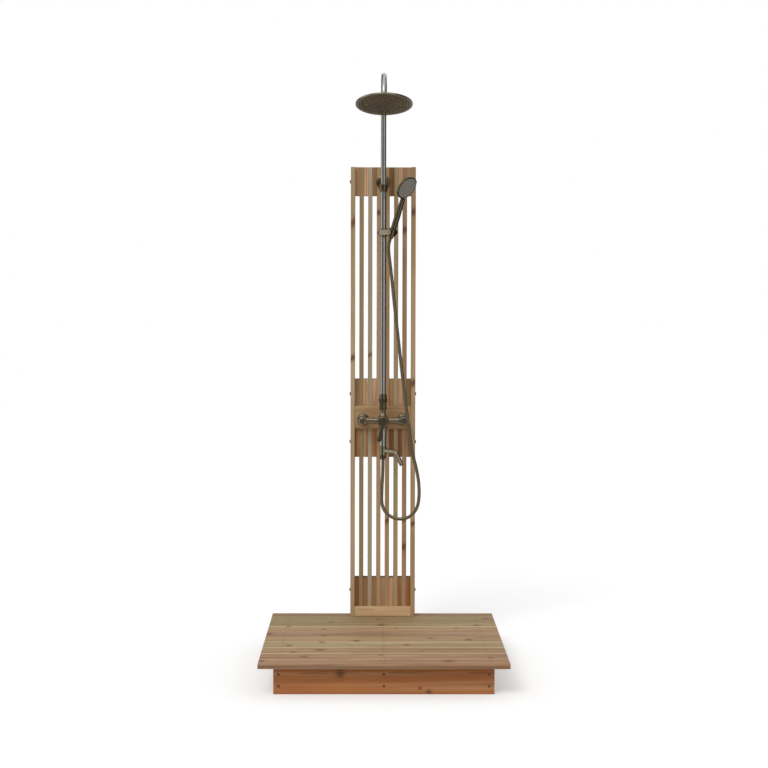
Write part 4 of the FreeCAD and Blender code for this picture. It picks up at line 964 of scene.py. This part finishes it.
liner = moulded("acetal_liner", (38, 37, 36), (58, 56, 54), grain=900.0, clouds=900.0, roughness=0.42)
spray_grey = moulded("moulded_spray_face", (136, 134, 120), (152, 150, 138), grain=700.0, clouds=24.0,
                     roughness=0.40, swing=0.18, relief=0.15)
silicone = moulded("silicone_nozzles", (72, 63, 50), (104, 92, 74), grain=260.0, clouds=260.0,
                   roughness=0.45)
dress(nodes["slider_bush"], liner)
dress(nodes["ball_seat"], liner)
dress(nodes["spray_plate"], spray_grey)
OWN_FINISHES = ("cedar", "brushed", "dark", "acetal", "moulded")
undressed = [name for name, item in nodes.items() if not item.hide_render
             and not any(m and m.name.startswith(OWN_FINISHES) for m in item.data.materials)]
print("nodes still without a finish:", undressed)

# %% [markdown]
# ## Screws
# The deck boards are held by two screws at each joist, and the front and rear boards by two at each
# joist's end. The photograph shows the dark heads on the front board. A head is a shallow dish with
# a six-lobed recess. It is made as rings of points whose depth follows the recess, from its middle
# to its edge, and all the screws of one row are one mesh.

# %% Screw heads
SCREW_TURNS = 36
# each ring's share of the radius, and its height as a share of the recess's depth
SCREW_RINGS = ((0.0, -1.0), (0.30, -1.0), (0.46, -1.0), (0.52, 0.16), (0.75, 0.12), (0.93, 0.05), (1.0, 0.0))
RECESS_DEPTH = 0.18
RECESS_REACH = 0.6
RECESS_LOBE = 0.16


def head_ring(share, height):
    """One ring of a screw's head, for a radius of 1; the middle is a ring of one point."""
    ring = []
    for j in range(SCREW_TURNS if share else 1):
        angle = 2 * math.pi * j / SCREW_TURNS
        lobe = 1 + RECESS_LOBE * math.cos(6 * angle) if 0 < share < RECESS_REACH else 1
        ring.append(Vector((math.cos(angle) * share * lobe, math.sin(angle) * share * lobe,
                            height * RECESS_DEPTH)))
    return ring


def screw_row(name, places, outward, radius, body="post_and_mixer"):
    """Screw heads at the given places, their faces turned outward, as one piece."""
    mesh = bmesh.new()
    turn_to = Vector(outward).to_track_quat("Z", "Y").to_matrix()
    for place in places:
        rings = [[mesh.verts.new(Vector(place) + turn_to @ (point * radius)) for point in head_ring(*ring)]
                 for ring in SCREW_RINGS]
        for inner, outer in zip(rings, rings[1:]):
            for j in range(SCREW_TURNS):
                n = (j + 1) % SCREW_TURNS
                corners = (inner[j % len(inner)], outer[j], outer[n], inner[n % len(inner)])
                mesh.faces.new(dict.fromkeys(corners))
    piece = as_piece(name, mesh)
    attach(piece, body)
    return piece


print("a screw's head has", len(SCREW_RINGS), "rings")

# %% [markdown]
# The screws' places follow from the boards: one near each edge of every deck board, over each joist,
# and two at each joist's end in the aprons. None is made where the post stands. The heads stand
# about a millimetre proud of the wood.

# %% Deck and apron screws
JOISTS_X = (-0.3845, 0.0, 0.3845)
APRON_SCREWS_Z = (0.030, 0.073)
APRON_HEAD_RADIUS, APRON_HEAD_LIFT = 4.8 * MM, 0.9 * MM
DECK_HEAD_RADIUS, DECK_HEAD_LIFT = 3.6 * MM, 0.72 * MM
WIDE_BOARD = 80 * MM
WIDE_INSET, NARROW_INSET = 22 * MM, 14 * MM
POST_SIDE, POST_FRONT = 140 * MM, 390 * MM

screw_finish = brushed("dark_screw_heads", (92, 82, 72), 0.42)
deck_screw_finish = brushed("brown_screw_heads", (150, 128, 98), 0.50)
front_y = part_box("front_apron")[0].y - APRON_HEAD_LIFT
back_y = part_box("rear_apron")[1].y + APRON_HEAD_LIFT
deck_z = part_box("deck_board_01")[1].z + DECK_HEAD_LIFT
rows = [screw_row(name, [(x, y, z) for x in JOISTS_X for z in APRON_SCREWS_Z], outward,
                  APRON_HEAD_RADIUS)
        for name, y, outward in (("front_apron_screws", front_y, (0, -1, 0)),
                                 ("rear_apron_screws", back_y, (0, 1, 0)))]
for row in rows:
    dress(row, screw_finish)
deck_places = []
for k in range(len(DECK)):
    low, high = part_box(f"deck_board_{k + 1:02d}")
    inset = WIDE_INSET if high.y - low.y > WIDE_BOARD else NARROW_INSET
    deck_places += [(x, y, deck_z) for x in JOISTS_X for y in (low.y + inset, high.y - inset)
                    if abs(x) > POST_SIDE or y < POST_FRONT]
dress(screw_row("deck_screws", deck_places, (0, 0, 1), DECK_HEAD_RADIUS), deck_screw_finish)
print("screw heads:", 2 * len(JOISTS_X) * len(APRON_SCREWS_Z) + len(deck_places))

# %% [markdown]
# ## Nozzles
# Water leaves both heads through soft silicone nozzles in rings, small cones with a flat tip. Each
# plate's own mesh tells where it is and which way it faces: its largest flat side. The nozzles stand
# on that plane, in rings about as far apart as the nozzles within a ring.

# %% Nozzle rings
NOZZLE_SIDES = 8
NOZZLE_OUTLINE = ((1.0, 0.0), (0.72, 0.85), (0.50, 1.0))  # shares of its width and its height


def plate_front(name, facing):
    """The middle of a plate's front and the way it faces, from its own mesh."""
    mesh = nodes[name].data
    front = [p for p in mesh.polygons if p.normal.dot(Vector(facing)) > 0.5]
    flat = max(front, key=lambda p: p.area).normal.copy()
    reach = max(v.co.dot(flat) for v in mesh.vertices)
    middle = sum((v.co for v in mesh.vertices), Vector()) / len(mesh.vertices)
    return middle + flat * (reach - middle.dot(flat)), flat


def nozzle_centres(reach, pitch):
    """The nozzles' places on a flat plate, ring by ring from the middle."""
    centres = []
    for ring in range(int(reach / pitch) + 1):
        radius = ring * pitch
        total = max(1, round(2 * math.pi * radius / pitch))
        for k in range(total):
            angle = 2 * math.pi * (k + 0.5 * (ring % 2)) / total
            centres.append(Vector((radius * math.cos(angle), radius * math.sin(angle), 0.0)))
    return centres


def nozzle_rings(name, plate, facing, reach, pitch, width, height, body):
    """Rings of nozzles on a plate's front, as one piece."""
    middle, flat = plate_front(plate, facing)
    turn_to = flat.to_track_quat("Z", "Y").to_matrix()
    turns = [2 * math.pi * j / NOZZLE_SIDES for j in range(NOZZLE_SIDES)]
    mesh = bmesh.new()
    centres = nozzle_centres(reach, pitch)
    for centre in centres:
        rings = []
        for share, lift in NOZZLE_OUTLINE:
            radius = share * width / 2
            points = [Vector((math.cos(t) * radius, math.sin(t) * radius, lift * height)) for t in turns]
            rings.append([mesh.verts.new(middle + turn_to @ (centre + point)) for point in points])
        walls(mesh, rings)
        mesh.faces.new(rings[-1])
    piece = as_piece(name, mesh)
    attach(piece, body)
    print(name, "has", len(centres), "nozzles")
    return piece


print("a nozzle has", NOZZLE_SIDES, "sides")

# %% [markdown]
# The rain head has large nozzles over almost its whole face, and the handset has smaller ones. They
# ride on their heads, so they tip and turn with them.

# %% Rain head and handset nozzles
dress(nozzle_rings("rain_nozzles", "rain_plate", facing=(0, -0.3, -1), reach=98 * MM, pitch=8.9 * MM,
                   width=3.6 * MM, height=1.4 * MM, body="rain_head"), silicone)
dress(nozzle_rings("spray_nozzles", "spray_plate", facing=(0.3, -0.8, -0.5), reach=38 * MM, pitch=6.3 * MM,
                   width=2.6 * MM, height=1.1 * MM, body="handset"), silicone)
